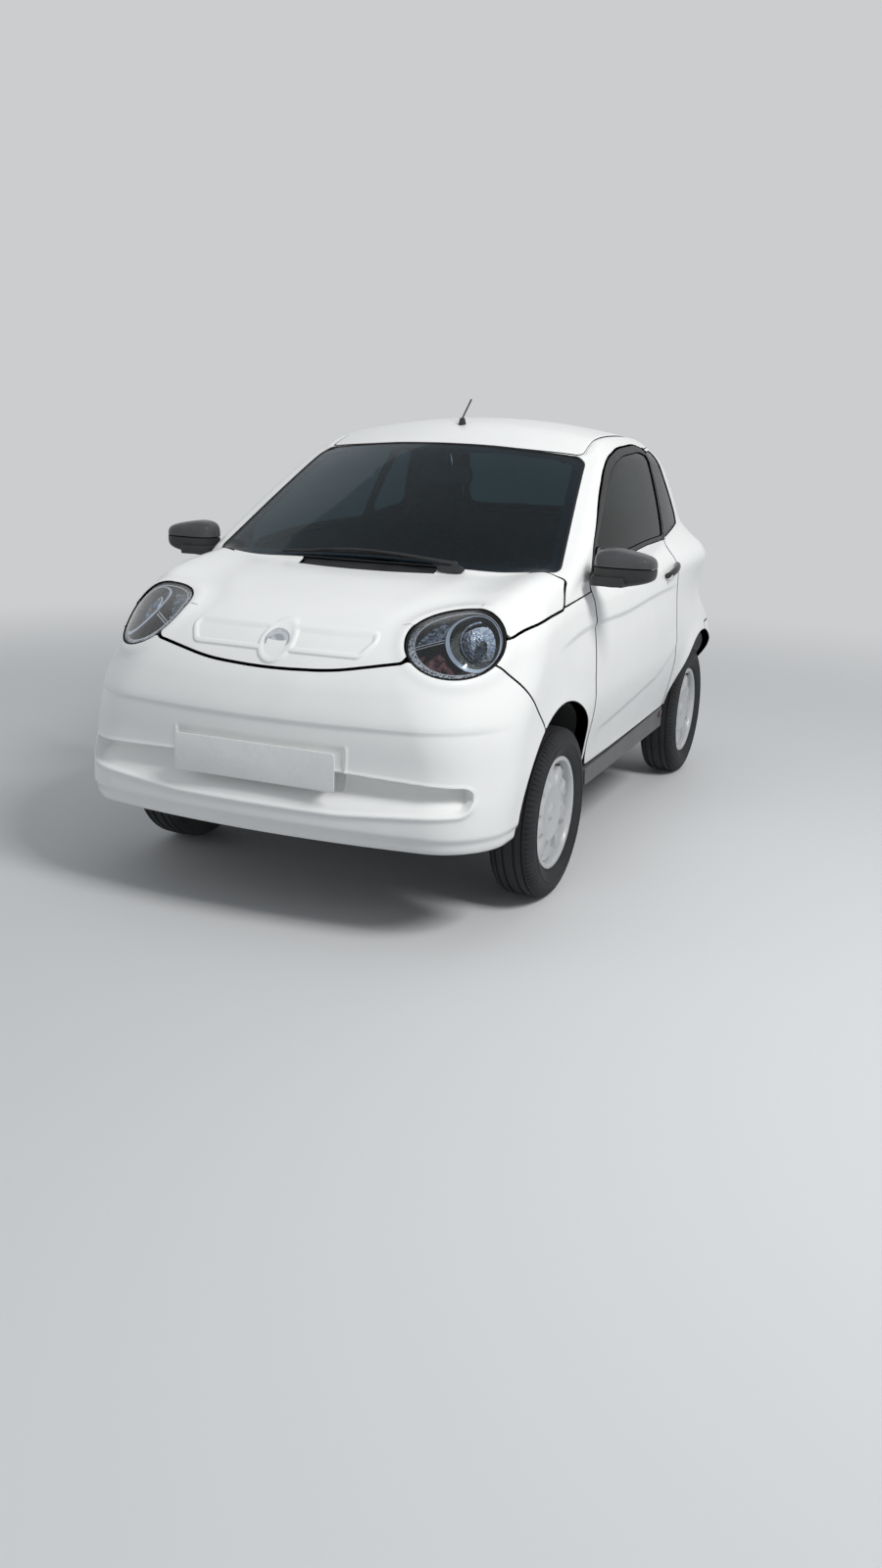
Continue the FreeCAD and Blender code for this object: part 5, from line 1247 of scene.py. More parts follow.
def roof_panel():
    terms = [keep("xy", ROOF_LINE, 0.0, 2.0), drop("screen", SCREEN_LINE, 2.5, 2.0)]
    return panel(on_form(aim_up, ditch), refined(-500, 500, 12.0, (-500, -420, 6.0), (420, 500, 6.0)),
                 spread(-110, 985, 12.0), terms, 28.0)


def ditch_panel():
    """Moulding in body colour that closes the roof's side gap from below."""
    terms = [keep("xy", ROOF_LINE, -16.0, 2.0), drop("xy", ROOF_LINE, -12.0, 2.0),
             drop("screen", SCREEN_LINE, 3.0, 2.0), Half(lambda p: p[:, 1] - 930.0)]
    return panel(on_form(aim_up, ditch), refined(-530, 530, 8.0, (-510, -400, 4.0), (400, 510, 4.0)),
                 spread(-110, 985, 10.0), terms, 12.0, start=3.0)


def tailgate_panel():
    terms = [keep("xz", TAILGATE_LINE), drop("xz", rounded(REAR_GLASS), 0.5),
             Half(lambda p: 972.0 - p[:, 1])]
    return panel(on_form(aim_back), spread(-540, 540, 12.0), spread(620, 1392, 11.0), terms, 34.0, -1.0)


def rear_bumper_panel():
    terms = [Half(lambda p: REAR_AXLE_Y + 60.0 - p[:, 1]), Half(lambda p: p[:, 2] - 640.0),
             Half(lambda p: BUMPER_FOOT_Z - p[:, 2], 5.0), Circle(REAR_AXLE_Y, ARCH_RADIUS, ARCH_EDGE)]
    return panel(on_form(aim_plan(700)), spread(14, 166, 0.85), spread(268, 655, 9.0), terms, BUMPER_DEPTH,
                 kinds=(0, 0), hem=BUMPER_DEPTH)


both_sides("door_shell", door_panel(), [paint, inner_trim], "door_SIDE", ["door_SIDE"], "body_paint")
both_sides("window_frame", frame_panel(), [black_trim, inner_trim], "door_SIDE", ["door_frame_SIDE"],
           "black_trim")
both_sides("body_side", rail_panel().joined(quarter_panel()), [paint, inner_trim], "chassis",
           ["side_rails", "rear_quarters"], "body_paint")
both_sides("front_wing", wing_panel(), [paint, frame_metal], "chassis", ["front_wings"], "body_paint")
for name, shape, lining, body, nodes in (
        ("front_bumper_skin", bumper_panel(), frame_metal, "chassis", ["front_bumper"]),
        ("bonnet_skin", bonnet_panel(), frame_metal, "bonnet", ["bonnet"]),
        ("roof_skin", roof_panel(), inner_trim, "chassis", ["roof_panel"]),
        ("roof_ditch", ditch_panel(), inner_trim, "chassis", []),
        ("tailgate_skin", tailgate_panel(), inner_trim, "tailgate", ["tailgate"]),
        ("rear_bumper_skin", rear_bumper_panel(), frame_metal, "chassis", ["rear_bumper"])):
    place(name, shape, [paint, lining], body, nodes, "body_paint")


def edge_line(surface, line, radius, sink):
    """Thin round strip along a closed line on a surface."""
    u, v = line.T
    normals = surface_normals(surface, u, v, 0.5, 0.5, 1.0)
    return tube(surface(u, v) - normals * sink, radius, 10, closed=True)


def even(line, step):
    """Closed line with its points at even distances."""
    loop = np.concatenate([line, line[:1]])
    run = np.concatenate([[0.0], np.cumsum(np.linalg.norm(np.diff(loop, axis=0), axis=1))])
    at = np.linspace(0.0, run[-1], int(run[-1] / step), endpoint=False)
    return np.stack([np.interp(at, run, loop[:, 0]), np.interp(at, run, loop[:, 1])], axis=1)


# Glass
def inset(plane, line, margin, edge, width=None):
    """Terms for what lies inside a line, or for a frame of some width along it."""
    terms = [keep(plane, line, margin, edge)]
    if width is not None:
        terms.append(drop(plane, line, -width, edge))
    return terms


screen = on_form(aim_screen)
side_form = on_form(aim_side)
back_form = on_form(aim_back)
rear_line = rounded(REAR_GLASS)
screen_grid = (spread(-640, 640, 16), spread(-340, 430, 16))
pane = slab(screen, *screen_grid, inset("screen", SCREEN_LINE, 0.3, 0.8), 6.5, start=2.0)
place("windscreen_glass", pane, [screen_glass], "chassis", ["windscreen"], "glass")
band = slab(screen, *screen_grid, inset("screen", SCREEN_LINE, 1.5, 0.5, 34.0), 8.4, start=7.2)
place("windscreen_border", band, [black_gloss], "chassis", [], "black_trim")
strip = edge_line(screen, even(SCREEN_LINE, 14.0), 2.6, 2.4)
place("windscreen_seal", strip, [seal], "chassis", [], "black_trim", 50.0)
pane = slab(side_form, spread(-340, 640, 14), spread(18, 76, 1.4), inset("yz", DOOR_GLASS_LINE, 0.4, 0.6),
            8.0, start=4.0)
both_sides("door_window", pane, [window_glass], "door_SIDE", ["door_glass_SIDE"], "glass")
pane = slab(side_form, spread(560, 920, 12), spread(20, 92, 1.6), inset("yz", QUARTER_GLASS_LINE, 0.4, 0.6),
            8.0, start=3.0)
both_sides("quarter_window", pane, [window_glass], "chassis", ["quarter_glasses"], "glass")
band = slab(side_form, spread(560, 920, 8), spread(20, 92, 1.0),
            inset("yz", QUARTER_GLASS_LINE, 1.0, 0.5, 24.0), 9.4, start=8.2)
both_sides("quarter_border", band, [black_gloss], "chassis", [], "black_trim")
both_sides("window_pillar", pillar_panel(), [black_gloss], "chassis", [], "black_trim")
pane = slab(back_form, spread(-500, 500, 16), spread(1020, 1360, 14), inset("xz", rear_line, 0.5, 0.6),
            8.0, -1.0, start=4.0)
place("rear_window", pane, [window_glass], "tailgate", ["rear_glass"], "glass")
band = slab(back_form, spread(-500, 500, 12), spread(1020, 1360, 10),
            inset("xz", rear_line, 1.0, 0.5, 28.0), 9.4, -1.0, start=8.2)
place("rear_border", band, [black_gloss], "tailgate", [], "black_trim")


# Headlamps, built on the lens surface: side and up lines across the lamp, depth below its face
LAMP_FLAT = (LAMP_CENTRE, LAMP_SIDE, LAMP_UP)
RING_CENTRE = (50.0, 5.0)
RING_HALF = (81.0, 103.0)
RING_WIDTH = 13.0
BOWL_CENTRE = (68.0, 16.0)
BOWL_HALF = (56.0, 74.0)


def lamp_surface(sink=0.0):
    def surface(across, up):
        origin = LAMP_CENTRE + across[..., None] * LAMP_SIDE + up[..., None] * LAMP_UP - 300.0 * LAMP_AIM
        direction = np.broadcast_to(LAMP_AIM, origin.shape)
        points = origin + direction * reach(origin, direction)[..., None]
        return points - LAMP_AIM * (sink(across, up) if callable(sink) else sink + 0.0 * across)[..., None]
    return surface


def ellipse(centre, half, count=72, tilt=0.0):
    x, y = oval(*half, count).T
    c, s = turn(tilt)
    return np.stack([c * x - s * y + centre[0], s * x + c * y + centre[1]], axis=1)


def in_lamp(margin, edge=1.0):
    return keep(LAMP_PLANE, LAMP_OVAL, margin, edge)


lamp_face = lamp_surface()
lamp_grid = (spread(-160, 160, 6.0), spread(-140, 145, 6.0))
ring_outer = ellipse(RING_CENTRE, RING_HALF)
ring_inner = ellipse((RING_CENTRE[0] + 3, RING_CENTRE[1] + 4),
                     (RING_HALF[0] - RING_WIDTH, RING_HALF[1] - RING_WIDTH))
bowl_edge = ellipse(BOWL_CENTRE, BOWL_HALF)
bezel_edge = ellipse((8.0, 3.0), (127.0, 110.0), 72, LAMP_TILT)


def lens_bulge(across, up):
    return -2.5 * np.clip(1.0 - (across / 150.0) ** 2 - (up / 130.0) ** 2, 0.0, 1.0)


lens = slab(lamp_surface(lens_bulge), *lamp_grid, [in_lamp(2.5, 1.2)], 3.5)
both_sides("headlamp_lens", lens, [lens_clear], "chassis", ["headlamps"], "lamp_clear")
lamp_rim_flat = ellipse((0.0, 0.0), LAMP_HALF, 96, LAMP_TILT)
gasket = edge_line(lamp_face, lamp_rim_flat, 2.4, 2.2)
both_sides("headlamp_gasket", gasket, [seal], "chassis", [], "black_trim", 50.0)
case = slab(lamp_face, *lamp_grid, [in_lamp(3.0)], 62.0, start=58.0)
wall = slab(lamp_face, *lamp_grid, inset(LAMP_PLANE, LAMP_OVAL, 3.0, 1.0, 5.0), 62.0, start=7.0)
both_sides("headlamp_case", case.joined(wall), [lamp_shade], "chassis", [], "black_trim")
terms = [in_lamp(3.2), drop(LAMP_FLAT, bezel_edge, 0.0, 1.5)]
bezel = slab(lamp_face, *lamp_grid, terms, 30.0, start=8.0)
both_sides("headlamp_bezel", bezel, [lamp_speckle], "chassis", [], "lamp_clear")
line = edge_line(lamp_face, bezel_edge, 2.0, 9.0)
both_sides("headlamp_line", line, [chrome], "chassis", [], "lamp_clear", 50.0)
terms = [keep(LAMP_FLAT, ring_outer, 0.0, 3.0), drop(LAMP_FLAT, ring_inner, 0.0, 2.0), in_lamp(5.0)]
ring = slab(lamp_face, spread(-160, 160, 4.0), spread(-140, 145, 4.0), terms, 34.0, start=7.0)
# The ring's light blue colour is a painted sky reflection
both_sides("headlamp_ring", ring, [ring_painted_sky_blue], "chassis", [], "lamp_clear")
terms = [keep(LAMP_FLAT, ring_outer, 4.0, 1.0), drop(LAMP_FLAT, bowl_edge, 0.0, 2.0), in_lamp(6.0)]
crescent = slab(lamp_face, *lamp_grid, terms, 34.0, start=26.0)
both_sides("headlamp_crescent", crescent, [lamp_shade], "chassis", [], "lamp_clear")


def bowl_depth(across, up):
    """Depth of the fluted bowl behind the lens."""
    away = ((across - BOWL_CENTRE[0]) / BOWL_HALF[0]) ** 2 + ((up - BOWL_CENTRE[1]) / BOWL_HALF[1]) ** 2
    flutes = 1.2 * np.cos((across - BOWL_CENTRE[0]) / 5.5) * np.clip(1.0 - away, 0.0, 1.0)
    return 24.0 + 34.0 * np.clip(1.0 - away, 0.0, 1.0) ** 0.8 + flutes


terms = [keep(LAMP_FLAT, bowl_edge, -1.5, 0.6), in_lamp(5.0, 0.6)]
bowl = slab(lamp_surface(bowl_depth), spread(0, 150, 2.6), spread(-70, 105, 2.6), terms, 3.0)
# The bowl's blue tint is a painted sky reflection
both_sides("headlamp_bowl", bowl, [bowl_painted_sky_blue], "chassis", [], "lamp_clear")


def wavy(base):
    """Depth of a lamp's back wall with shallow waves."""
    def depth(across, up):
        return base + 3.0 * np.cos(across / 7.0) * np.cos(up / 9.0) - 0.08 * up
    return depth


UPPER_BACK = rounded([(-150, 140, 4), (-150, -38, 4), (40, 0, 4), (60, 140, 4)])
LOWER_BACK = rounded([(-150, -60, 4), (40, -10, 4), (60, -140, 4), (-150, -140, 4)])
for name, outline, base, finish in (("headlamp_upper", UPPER_BACK, 34.0, lamp_dark),
                                    ("headlamp_lower", LOWER_BACK, 38.0, lamp_signal)):
    terms = [keep(LAMP_FLAT, outline), in_lamp(4.0, 0.8), drop(LAMP_FLAT, ring_outer, -6.0, 0.8)]
    back = slab(lamp_surface(wavy(base)), spread(-160, 70, 3.4), spread(-140, 145, 3.4), terms, 3.0)
    both_sides(name, back, [finish], "chassis", [], "lamp_clear")
bars = Build()
for offset in (0.0, 9.0):
    outline = rounded([(-136, -54 + offset, 2), (-136, -49 + offset, 2), (-24, -3 + offset, 2),
                       (-24, -8 + offset, 2)])
    terms = [keep(LAMP_FLAT, outline, 0.0, 1.2), in_lamp(5.0)]
    strip = slab(lamp_face, spread(-150, -10, 1.9), spread(-70, 20, 1.5), terms, 30.0, start=9.0)
    bars = bars.joined(strip)
both_sides("headlamp_bar", bars, [chrome], "chassis", [], "lamp_clear")
bulb_spot = lamp_surface(44.0)(np.array([72.0]), np.array([20.0]))[0]
bulb = revolved([(0.5, 16.0), (6.5, 15.0), (8.5, 12.0), (9.0, -14.0), (0.5, -14.0)], circle(24),
                (0.12, -0.92, 0.36)).moved(bulb_spot)
both_sides("headlamp_bulb", bulb, [lamp_shade], "chassis", [], "lamp_clear", 40.0)


# Wheels about the origin, the outside towards +x
TYRE_PITCHES = 100
TYRE_ROWS = [(53.0, 165.6, 0), (53.2, 174, 0), (54.5, 178.5, 0), (57.5, 181, 0), (61, 185, 0),
             (64.5, 190.5, 0), (68.5, 200, 0), (71.2, 209, 0), (72.2, 212.5, 0), (74.2, 214.2, 0),
             (75.0, 216.2, 0), (74.4, 218.6, 0), (72.6, 220.5, 0), (72.4, 226, 0), (71.6, 232, 0),
             (70.2, 238, 1), (67.6, 246, 1), (64.2, 253, 1), (59.8, 258.6, 1), (54.4, 262.0, 1),
             (50.4, 263.4, 1), (49.2, 263.7, 0), (45.2, 264.4, 0), (44.6, 263.6, 0), (43.4, 258.8, 0),
             (39.2, 259.0, 0), (38.2, 264.4, 0), (37.4, 265.2, 0), (30, 265.8, 0), (21.6, 266.2, 0),
             (20.9, 265.4, 0), (19.8, 260.2, 0), (14.2, 260.3, 0), (13.1, 265.7, 0), (12.2, 266.5, 0),
             (5, 266.6, 0)]
SIPE_DEPTH = 3.4
SIPE_PLACES = np.array([0.0, 0.56, 0.66, 0.9])


def tyre_shape():
    """Tyre with grooves round it and a sipe across each shoulder at every pitch."""
    rows = TYRE_ROWS + [(-along, radius, sipe) for along, radius, sipe in TYRE_ROWS[::-1]]
    pitch = 2.0 * math.pi / TYRE_PITCHES
    angles = np.concatenate([k * pitch + pitch * SIPE_PLACES for k in range(TYRE_PITCHES)])
    groove = np.tile([0.0, 0.0, 1.0, 1.0], TYRE_PITCHES)
    share = np.array([row[2] for row in rows], float)[:, None]
    return revolved([(radius, along) for along, radius, _ in rows], angles,
                    inward=SIPE_DEPTH * share * groove)


RIM_DISH = spline([(0, 46.5), (22, 45.6), (27, 42.6), (34, 42.0), (60, 43.6), (78, 45.0), (90, 45.0),
                   (110, 44.0), (135, 43.0), (150, 41.0), (156, 38.5), (170, 36.0)])
RIM_PANELS = 10
HOLLOW_DEPTH = 20.0
HOLLOW_HALF = 27.0
WINDOW_RADIUS = 138.0
WINDOW_HALF = (9.5, 16.0)


def rim_face():
    """Pressed disc with a domed middle and a ring of hollows that end in oval windows."""
    def surface(y, z):
        radius = np.hypot(y, z)
        angle = np.arctan2(z, y)
        pitch = 2.0 * math.pi / RIM_PANELS
        away = (angle / pitch - np.round(angle / pitch)) * pitch * radius
        width = HOLLOW_HALF * np.sqrt(np.clip((radius - 84.0) / 56.0, 0.0, 1.0)) + 0.5
        hollow = (1.0 - ease(np.abs(away) / width, 0.3, 1.0)) * ease(radius, 88.0, 116.0)
        crown = 1.6 * hill(radius, 86.0, 7.0)
        hollow = HOLLOW_DEPTH * hollow * (1.0 - 0.6 * ease(radius, 146, 156))
        return stack(RIM_DISH(radius) + crown - hollow, y, z)

    terms = [keep("yz", ellipse((0.0, 0.0), (155.5, 155.5), 90), 0.0, 0.6)]
    for k in range(RIM_PANELS):
        turned = 360.0 * k / RIM_PANELS
        c, s = turn(turned)
        window = ellipse((WINDOW_RADIUS * c, WINDOW_RADIUS * s), WINDOW_HALF, 28, turned)
        terms.append(drop("yz", window, 0.0, 1.2))
    return panel(surface, spread(-158, 158, 2.8), spread(-158, 158, 2.8), terms, 3.5, coarse=2)


def rim_barrel():
    rows = [(154.5, 29), (156, 36), (157.6, 46), (160, 53), (163, 57.6), (167, 59.2), (172, 59.4),
            (175.4, 58.4), (177, 56.2), (177, 54.2), (174, 53.2), (167, 51.5), (165, 46), (152, 26),
            (152, -30), (165, -46), (167, -51.5), (177, -54.2), (177, -56.4), (175.4, -58.4),
            (172, -59.4), (163, -57.6), (150, -40), (147, -30), (147, 22)]
    return revolved(rows, circle(128))


BOLT_CIRCLE_RADIUS = 49.0


def wheel_drum():
    """Brake drum with its back plate and four bolts."""
    rows = [(0.5, 25), (60, 25), (64, 22), (96, 22), (102, 20), (106, 15), (106, -20), (110, -22),
            (110, -36), (98, -36), (98, 12), (0.5, 12)]
    drum = revolved(rows, circle(96))
    drum = drum.joined(revolved([(100, -14), (145.5, -14), (145.5, -17), (100, -17)], circle(96), kind=1))
    for k in range(4):
        c, s = turn(90.0 * k + 45.0)
        bolt = revolved([(0.5, 34), (5, 34), (8, 31), (8.5, 24), (0.5, 24)], circle(6))
        drum = drum.joined(bolt.moved((0, BOLT_CIRCLE_RADIUS * c, BOLT_CIRCLE_RADIUS * s)))
    return drum


tyre = tyre_shape()
face = rim_face()
barrel = rim_barrel()
drum = wheel_drum()
valve = tube([(36, 0, 149), (50, 0, 152), (60, 0, 153)], [4.5, 3.6, 3.4], 10)
for corner, side, axle_y in (("front_left", 1, FRONT_AXLE_Y), ("front_right", -1, FRONT_AXLE_Y),
                             ("rear_left", 1, REAR_AXLE_Y), ("rear_right", -1, REAR_AXLE_Y)):
    spot = (side * WHEEL_X, axle_y, HUB_Z)
    for name, shape, finish, nodes, slot, sharp in (
            ("tyre_tread_", tyre, [rubber], ["tyre_" + corner], "tyre", 28.0),
            ("rim_disc_", face, [silver, drum_metal], ["rim_" + corner], "wheel_silver", None),
            ("rim_barrel_", barrel, [silver], [], "wheel_silver", 30.0),
            ("wheel_drum_", drum, [drum_metal, black_trim], [], "frame_metal", 35.0),
            ("valve_", valve, [seal], [], "tyre", 40.0)):
        turned = (shape if side > 0 else shape.mirrored()).moved(spot)
        place(name + corner, turned, finish, "wheel_" + corner, nodes, slot, sharp)


# Disc on the bonnet, blank plate and small body parts
badge_spot = on_form(aim_front)(np.array([0.0]), np.array([BADGE_Z]))[0]
badge_axis = np.array([0.0, -0.80, 0.60])
BADGE_ROWS = [(0.5, 1.5), (20, 1.2), (30, 0.4), (31.5, 1.0), (33, 3.4), (36, 4.4), (39, 3.4), (40.5, 0.5),
              (40.5, -4), (0.5, -4)]
badge = revolved(BADGE_ROWS, circle(72), badge_axis).moved(badge_spot + badge_axis * 1.5)
place("bonnet_badge", badge, [chrome], "bonnet", [], "lamp_clear", 35.0)
plate_outline = rounded([(-260, 431, 9), (260, 431, 9), (260, 541, 9), (-260, 541, 9)], step=1.0)
plate = bar(plate_outline, "xz", -1372.0, -1369.0, 1.2)
holder_line = rounded([(-240, 449, 6), (240, 449, 6), (240, 523, 6), (-240, 523, 6)], step=1.0)
plate = plate.joined(bar(holder_line, "xz", -1369.5, -1331.0, 1.5))
place("plate_blank", plate, [plate_white], "chassis", ["number_plates"], "plate_white", 30.0)
mark_line = rounded([(598, 306, 5), (640, 308, 5), (640, 330, 5), (598, 328, 5)], step=1.0)
mark = bar(mark_line, "yz", 671.0, 676.0, 1.5)
both_sides("side_reflector", mark, [lens_red], "chassis", [], "lamp_red", 30.0)
tail_form = on_form(aim_plan(820))
tail_line = rounded(TAIL_LAMP)
tail_grid = (spread(20, 66, 1.2), spread(680, 950, 6))
lens = slab(tail_form, *tail_grid, [keep("xz", tail_line, 1.0, 2.5)], 5.0)
both_sides("tail_lens", lens, [lens_red], "chassis", ["tail_lamps"], "lamp_red")
back = slab(tail_form, *tail_grid, [keep("xz", tail_line, 2.0, 2.0)], 26.0, start=20.0)
both_sides("tail_reflector", back, [lamp_speckle], "chassis", [], "lamp_clear")


# Outside mirrors: an upper and a lower shell with a thin line between them, a glass and an arm
MIRROR_CENTRE = np.array([789.0, -448.0, 1000.0])
MIRROR_HALF = np.array([96.0, 84.0, 61.0])
MIRROR_SPLIT = 4.0
MIRROR_POWER = 4.0


def mirror_surface(across, tilt):
    """Boxy rounded shell that tapers towards its outer end."""
    across_cos, across_sin = turn(across)
    tilt_cos, tilt_sin = turn(tilt)
    direction = stack(across_sin * tilt_cos, -across_cos * tilt_cos, tilt_sin)
    size = (np.abs(direction / MIRROR_HALF) ** MIRROR_POWER).sum(-1) ** (-1.0 / MIRROR_POWER)
    points = direction * size[..., None]
    x, y, z = points[..., 0], points[..., 1], points[..., 2]
    outer = ease(x, -45.0, 98.0)
    fall = 1.0 - 0.27 * outer * (z > 0) - 0.30 * outer * (z <= 0)
    return stack(x, y * (1.0 - 0.12 * outer), z * fall) + MIRROR_CENTRE


def mirror_shell(low, high):
    terms = [Half(lambda p: low + MIRROR_CENTRE[2] - p[:, 2], 1.2),
             Half(lambda p: p[:, 2] - MIRROR_CENTRE[2] - high, 1.2),
             Half(lambda p: p[:, 1] - MIRROR_CENTRE[1] + 2.0, 2.5)]
    return slab(mirror_surface, spread(-96, 96, 2.5), spread(-88, 88, 2.5), terms, 4.0)


upper = mirror_shell(MIRROR_SPLIT + 0.8, 90.0)
lower = mirror_shell(-90.0, MIRROR_SPLIT - 0.8)
both_sides("mirror_upper", upper, [mirror_grey], "door_SIDE", ["mirror_SIDE"], "mirror_grey")
both_sides("mirror_lower", lower, [black_trim], "door_SIDE", [], "mirror_grey")
inner = pillow(MIRROR_CENTRE + (-4, -16, 1), (82, 34, 46), 3.6, 24, 40)
both_sides("mirror_core", inner, [black_trim], "door_SIDE", [], "mirror_grey", 40.0)
looking_line = rounded([(706, 952, 18), (864, 964, 18), (866, 1036, 22), (706, 1050, 22)], step=1.5)
looking = bar(looking_line, "xz", -448.0, -442.0, 1.5)
both_sides("mirror_glass", looking, [mirror_glass], "door_SIDE", [], "mirror_grey", 30.0)
arm_line = rounded([(650, -400, 8), (684, -462, 60), (694, -534, 20), (800, -541, 6), (812, -470, 12),
                    (700, -398, 30), (664, -366, 8)], step=1.5)
arm = bar(arm_line, "xy", 947.0, 977.0, 4.0)
both_sides("mirror_arm", arm, [black_trim], "door_SIDE", [], "mirror_grey", 35.0)
sail_line = rounded([(-431, 949, 5), (-318, 970, 6), (-322, 1050, 10), (-356, 1044, 12)])
terms = [keep("yz", sail_line, 0.0, 2.5)]
sail = slab(side_form, spread(-440, -300, 5), spread(16, 50, 1.0), terms, 2.0, start=-5.0)
both_sides("mirror_sail", sail, [mirror_grey], "door_SIDE", [], "mirror_grey")


# Door handles: a curved grip, with a lock at its front end
def beside(y, z, stand):
    """Point that stands off the left flank."""
    origin = np.array([[250.0, y, z]])
    direction = np.array([[1.0, 0.0, 0.0]])
    return (origin + direction * reach(origin, direction)[:, None])[0] + np.array([stand, 0.0, 0.0])


grip_path = []
grip_size = []
for share in np.linspace(0.0, 1.0, 17):
    y, z = 390.0 + 150.0 * share, 892.0 + 30.0 * share
    grip_path.append(beside(y, z, 9.0 + 12.0 * math.sin(math.pi * share) ** 0.6))
    grip_size.append(10.5 + 2.5 * math.sin(math.pi * share))
grip = tube(grip_path, grip_size, 18)
both_sides("handle_grip", grip, [black_gloss], "door_SIDE", ["door_handle_SIDE"], "black_trim", 50.0)
lock_spot = beside(402.0, 888.0, 16.0)
LOCK_ROWS = [(0.5, 9.0), (3.2, 9.0), (3.4, 10.0), (7.0, 10.0), (8.5, 8.5), (9.0, 0.0), (9.0, -14.0),
             (0.5, -14.0)]
lock = revolved(LOCK_ROWS, circle(28)).moved(lock_spot)
both_sides("handle_lock", lock, [chrome], "door_SIDE", [], "black_trim", 30.0)


# Wiper and seats
def on_screen(x, s, height):
    """Point above the windscreen."""
    origin, direction = aim_screen(np.array([float(x)]), np.array([float(s)]))
    return (origin + direction * reach(origin, direction)[..., None])[0] + SCREEN_NORMAL * height


pivot = on_screen(300, -322, 0)
ARM_PLACES = [(296, -320, 24), (240, -318, 27), (120, -306, 25), (0, -296, 22), (-60, -292, 19)]
wiper = tube([on_screen(*spot) for spot in ARM_PLACES], [8.0, 6.5, 5.0, 4.5, 4.5], 12)
hub = revolved([(0.5, 33), (7, 32), (12, 27), (14, 20), (13, 0), (0.5, 0)], circle(24), SCREEN_NORMAL)
wiper = wiper.joined(hub.moved(pivot))
BLADE_MIDDLE = -60
BLADE_S = -292
YOKE_PLACES = [(0, 20), (70, 18), (150, 12)]
for sign in (-1.0, 1.0):
    yoke = [on_screen(BLADE_MIDDLE + out * sign, BLADE_S, height) for out, height in YOKE_PLACES]
    wiper = wiper.joined(tube(yoke, [4.0, 3.4, 2.6], 10))
blade_path = [on_screen(x, BLADE_S, 9.0) for x in np.linspace(-330, 210, 25)]
blade = tube(blade_path, 3.2, 10)
blade = blade.joined(tube([point - SCREEN_NORMAL * 4.5 for point in blade_path], 1.6, 8))
cover = pillow(pivot + (-14, -10, 6), (46, 20, 12), 2.6, 16, 28)
wiper = wiper.joined(blade).joined(cover)
place("wiper_blade", wiper, [black_trim], "chassis", ["wiper"], "black_trim", 35.0)


def seat_cushion_sculpt(points):
    x, y, z = points[..., 0], points[..., 1], points[..., 2]
    top = ease(z, -10.0, 30.0)
    bolster = 20.0 * ease(np.abs(x), 120.0, 175.0) * top
    seams = -7.0 * top * (hill(np.abs(x), 118.0, 9.0) + sum(hill(y, at, 8.0) for at in (-110.0, 0.0, 110.0))
                          * (1.0 - ease(np.abs(x), 108, 122)))
    return stack(x, y, z * (1.0 + 0.12 * (1.0 - (x / 215.0) ** 2)) + bolster * 0.6 + seams)


def seat_back_sculpt(points):
    x, y, z = points[..., 0], points[..., 1], points[..., 2]
    front = ease(-y, 0.0, 30.0)
    narrow = 1.0 - 0.32 * ease(z, 150.0, 270.0)
    bolster = 18.0 * ease(np.abs(x), 115.0, 170.0) * front * (1.0 - ease(z, 120, 220))
    seams = 7.0 * front * (hill(np.abs(x), 112.0, 9.0) * (1.0 - ease(z, 150, 200))
                           + sum(hill(z, at, 8.0) for at in (-160.0, -60.0, 40.0, 140.0))
                           * (1.0 - ease(np.abs(x), 102, 116)))
    return stack(x * narrow, y - bolster + seams, z)


SEAT_X = 315.0
cushion = pillow((SEAT_X, 260.0, 472.0), (208.0, 196.0, 40.0), 4.2, 44, 88, seat_cushion_sculpt, 4.0)
backrest = pillow((SEAT_X, 520.0, 748.0), (206.0, 44.0, 268.0), 4.0, 72, 88, seat_back_sculpt, -11.0)
headrest = pillow((SEAT_X, 585.0, 1052.0), (108.0, 30.0, 62.0), 3.2, 28, 48, None, -8.0)
for side in ("left", "right"):
    for name, shape, nodes in (("seat_cushion_", cushion, ["seats"] if side == "left" else []),
                               ("seat_back_", backrest, []), ("seat_headrest_", headrest, [])):
        shape = shape if side == "left" else shape.mirrored()
        piece = place(name + side, shape, [seat_cloth], "chassis", nodes, "seat_fabric", 60.0)
posts = Build()
for x in (SEAT_X - 40.0, SEAT_X + 40.0):
    posts = posts.joined(tube([(x, 574.0, 960.0), (x, 580.0, 1010.0)], 6.0, 12))
both_sides("headrest_posts", posts, [chrome], "chassis", [], "frame_metal", 40.0)


# Solids that show as they are, each with its finish
NODE_FINISH = {
    "sill_trims": sill_grey, "wheel_liners": liner_felt, "cowl": black_trim, "antenna": black_trim,
    "cabin_mirror": black_gloss, "dashboard": dash_plastic, "steering_wheel": dash_plastic,
    "chassis_frame": frame_metal, "seat_bases": frame_metal, "front_suspension": frame_metal,
    "rear_suspension": frame_metal, "knuckle_left": drum_metal, "knuckle_right": drum_metal,
    "engine_block": engine_metal, "exhaust": exhaust_metal,
}
for name, finish in NODE_FINISH.items():
    for material_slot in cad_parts[name].material_slots:
        material_slot.material = finish


# Floor, light and camera, in metres
FLOOR_ROWS = [(0.01, 0.0), (3.0, 0.0), (6.5, 0.0), (7.5, 0.12), (8.4, 0.48), (9.1, 1.05), (9.6, 1.8),
              (9.9, 2.7), (10.0, 3.8), (10.0, 12.0)]
FLOOR_COLUMNS = 96
FLOOR_COLOUR = (0.62, 0.625, 0.63)
BACKDROP_COLOUR = (0.6, 0.61, 0.62)
# The floor passes into the evenly lit backdrop between these distances from the car
BACKDROP_FROM = 2.6
BACKDROP_TO = 6.2
SKY_COLOUR = (0.9, 0.95, 1.0)
SKY_STRENGTH = 0.42
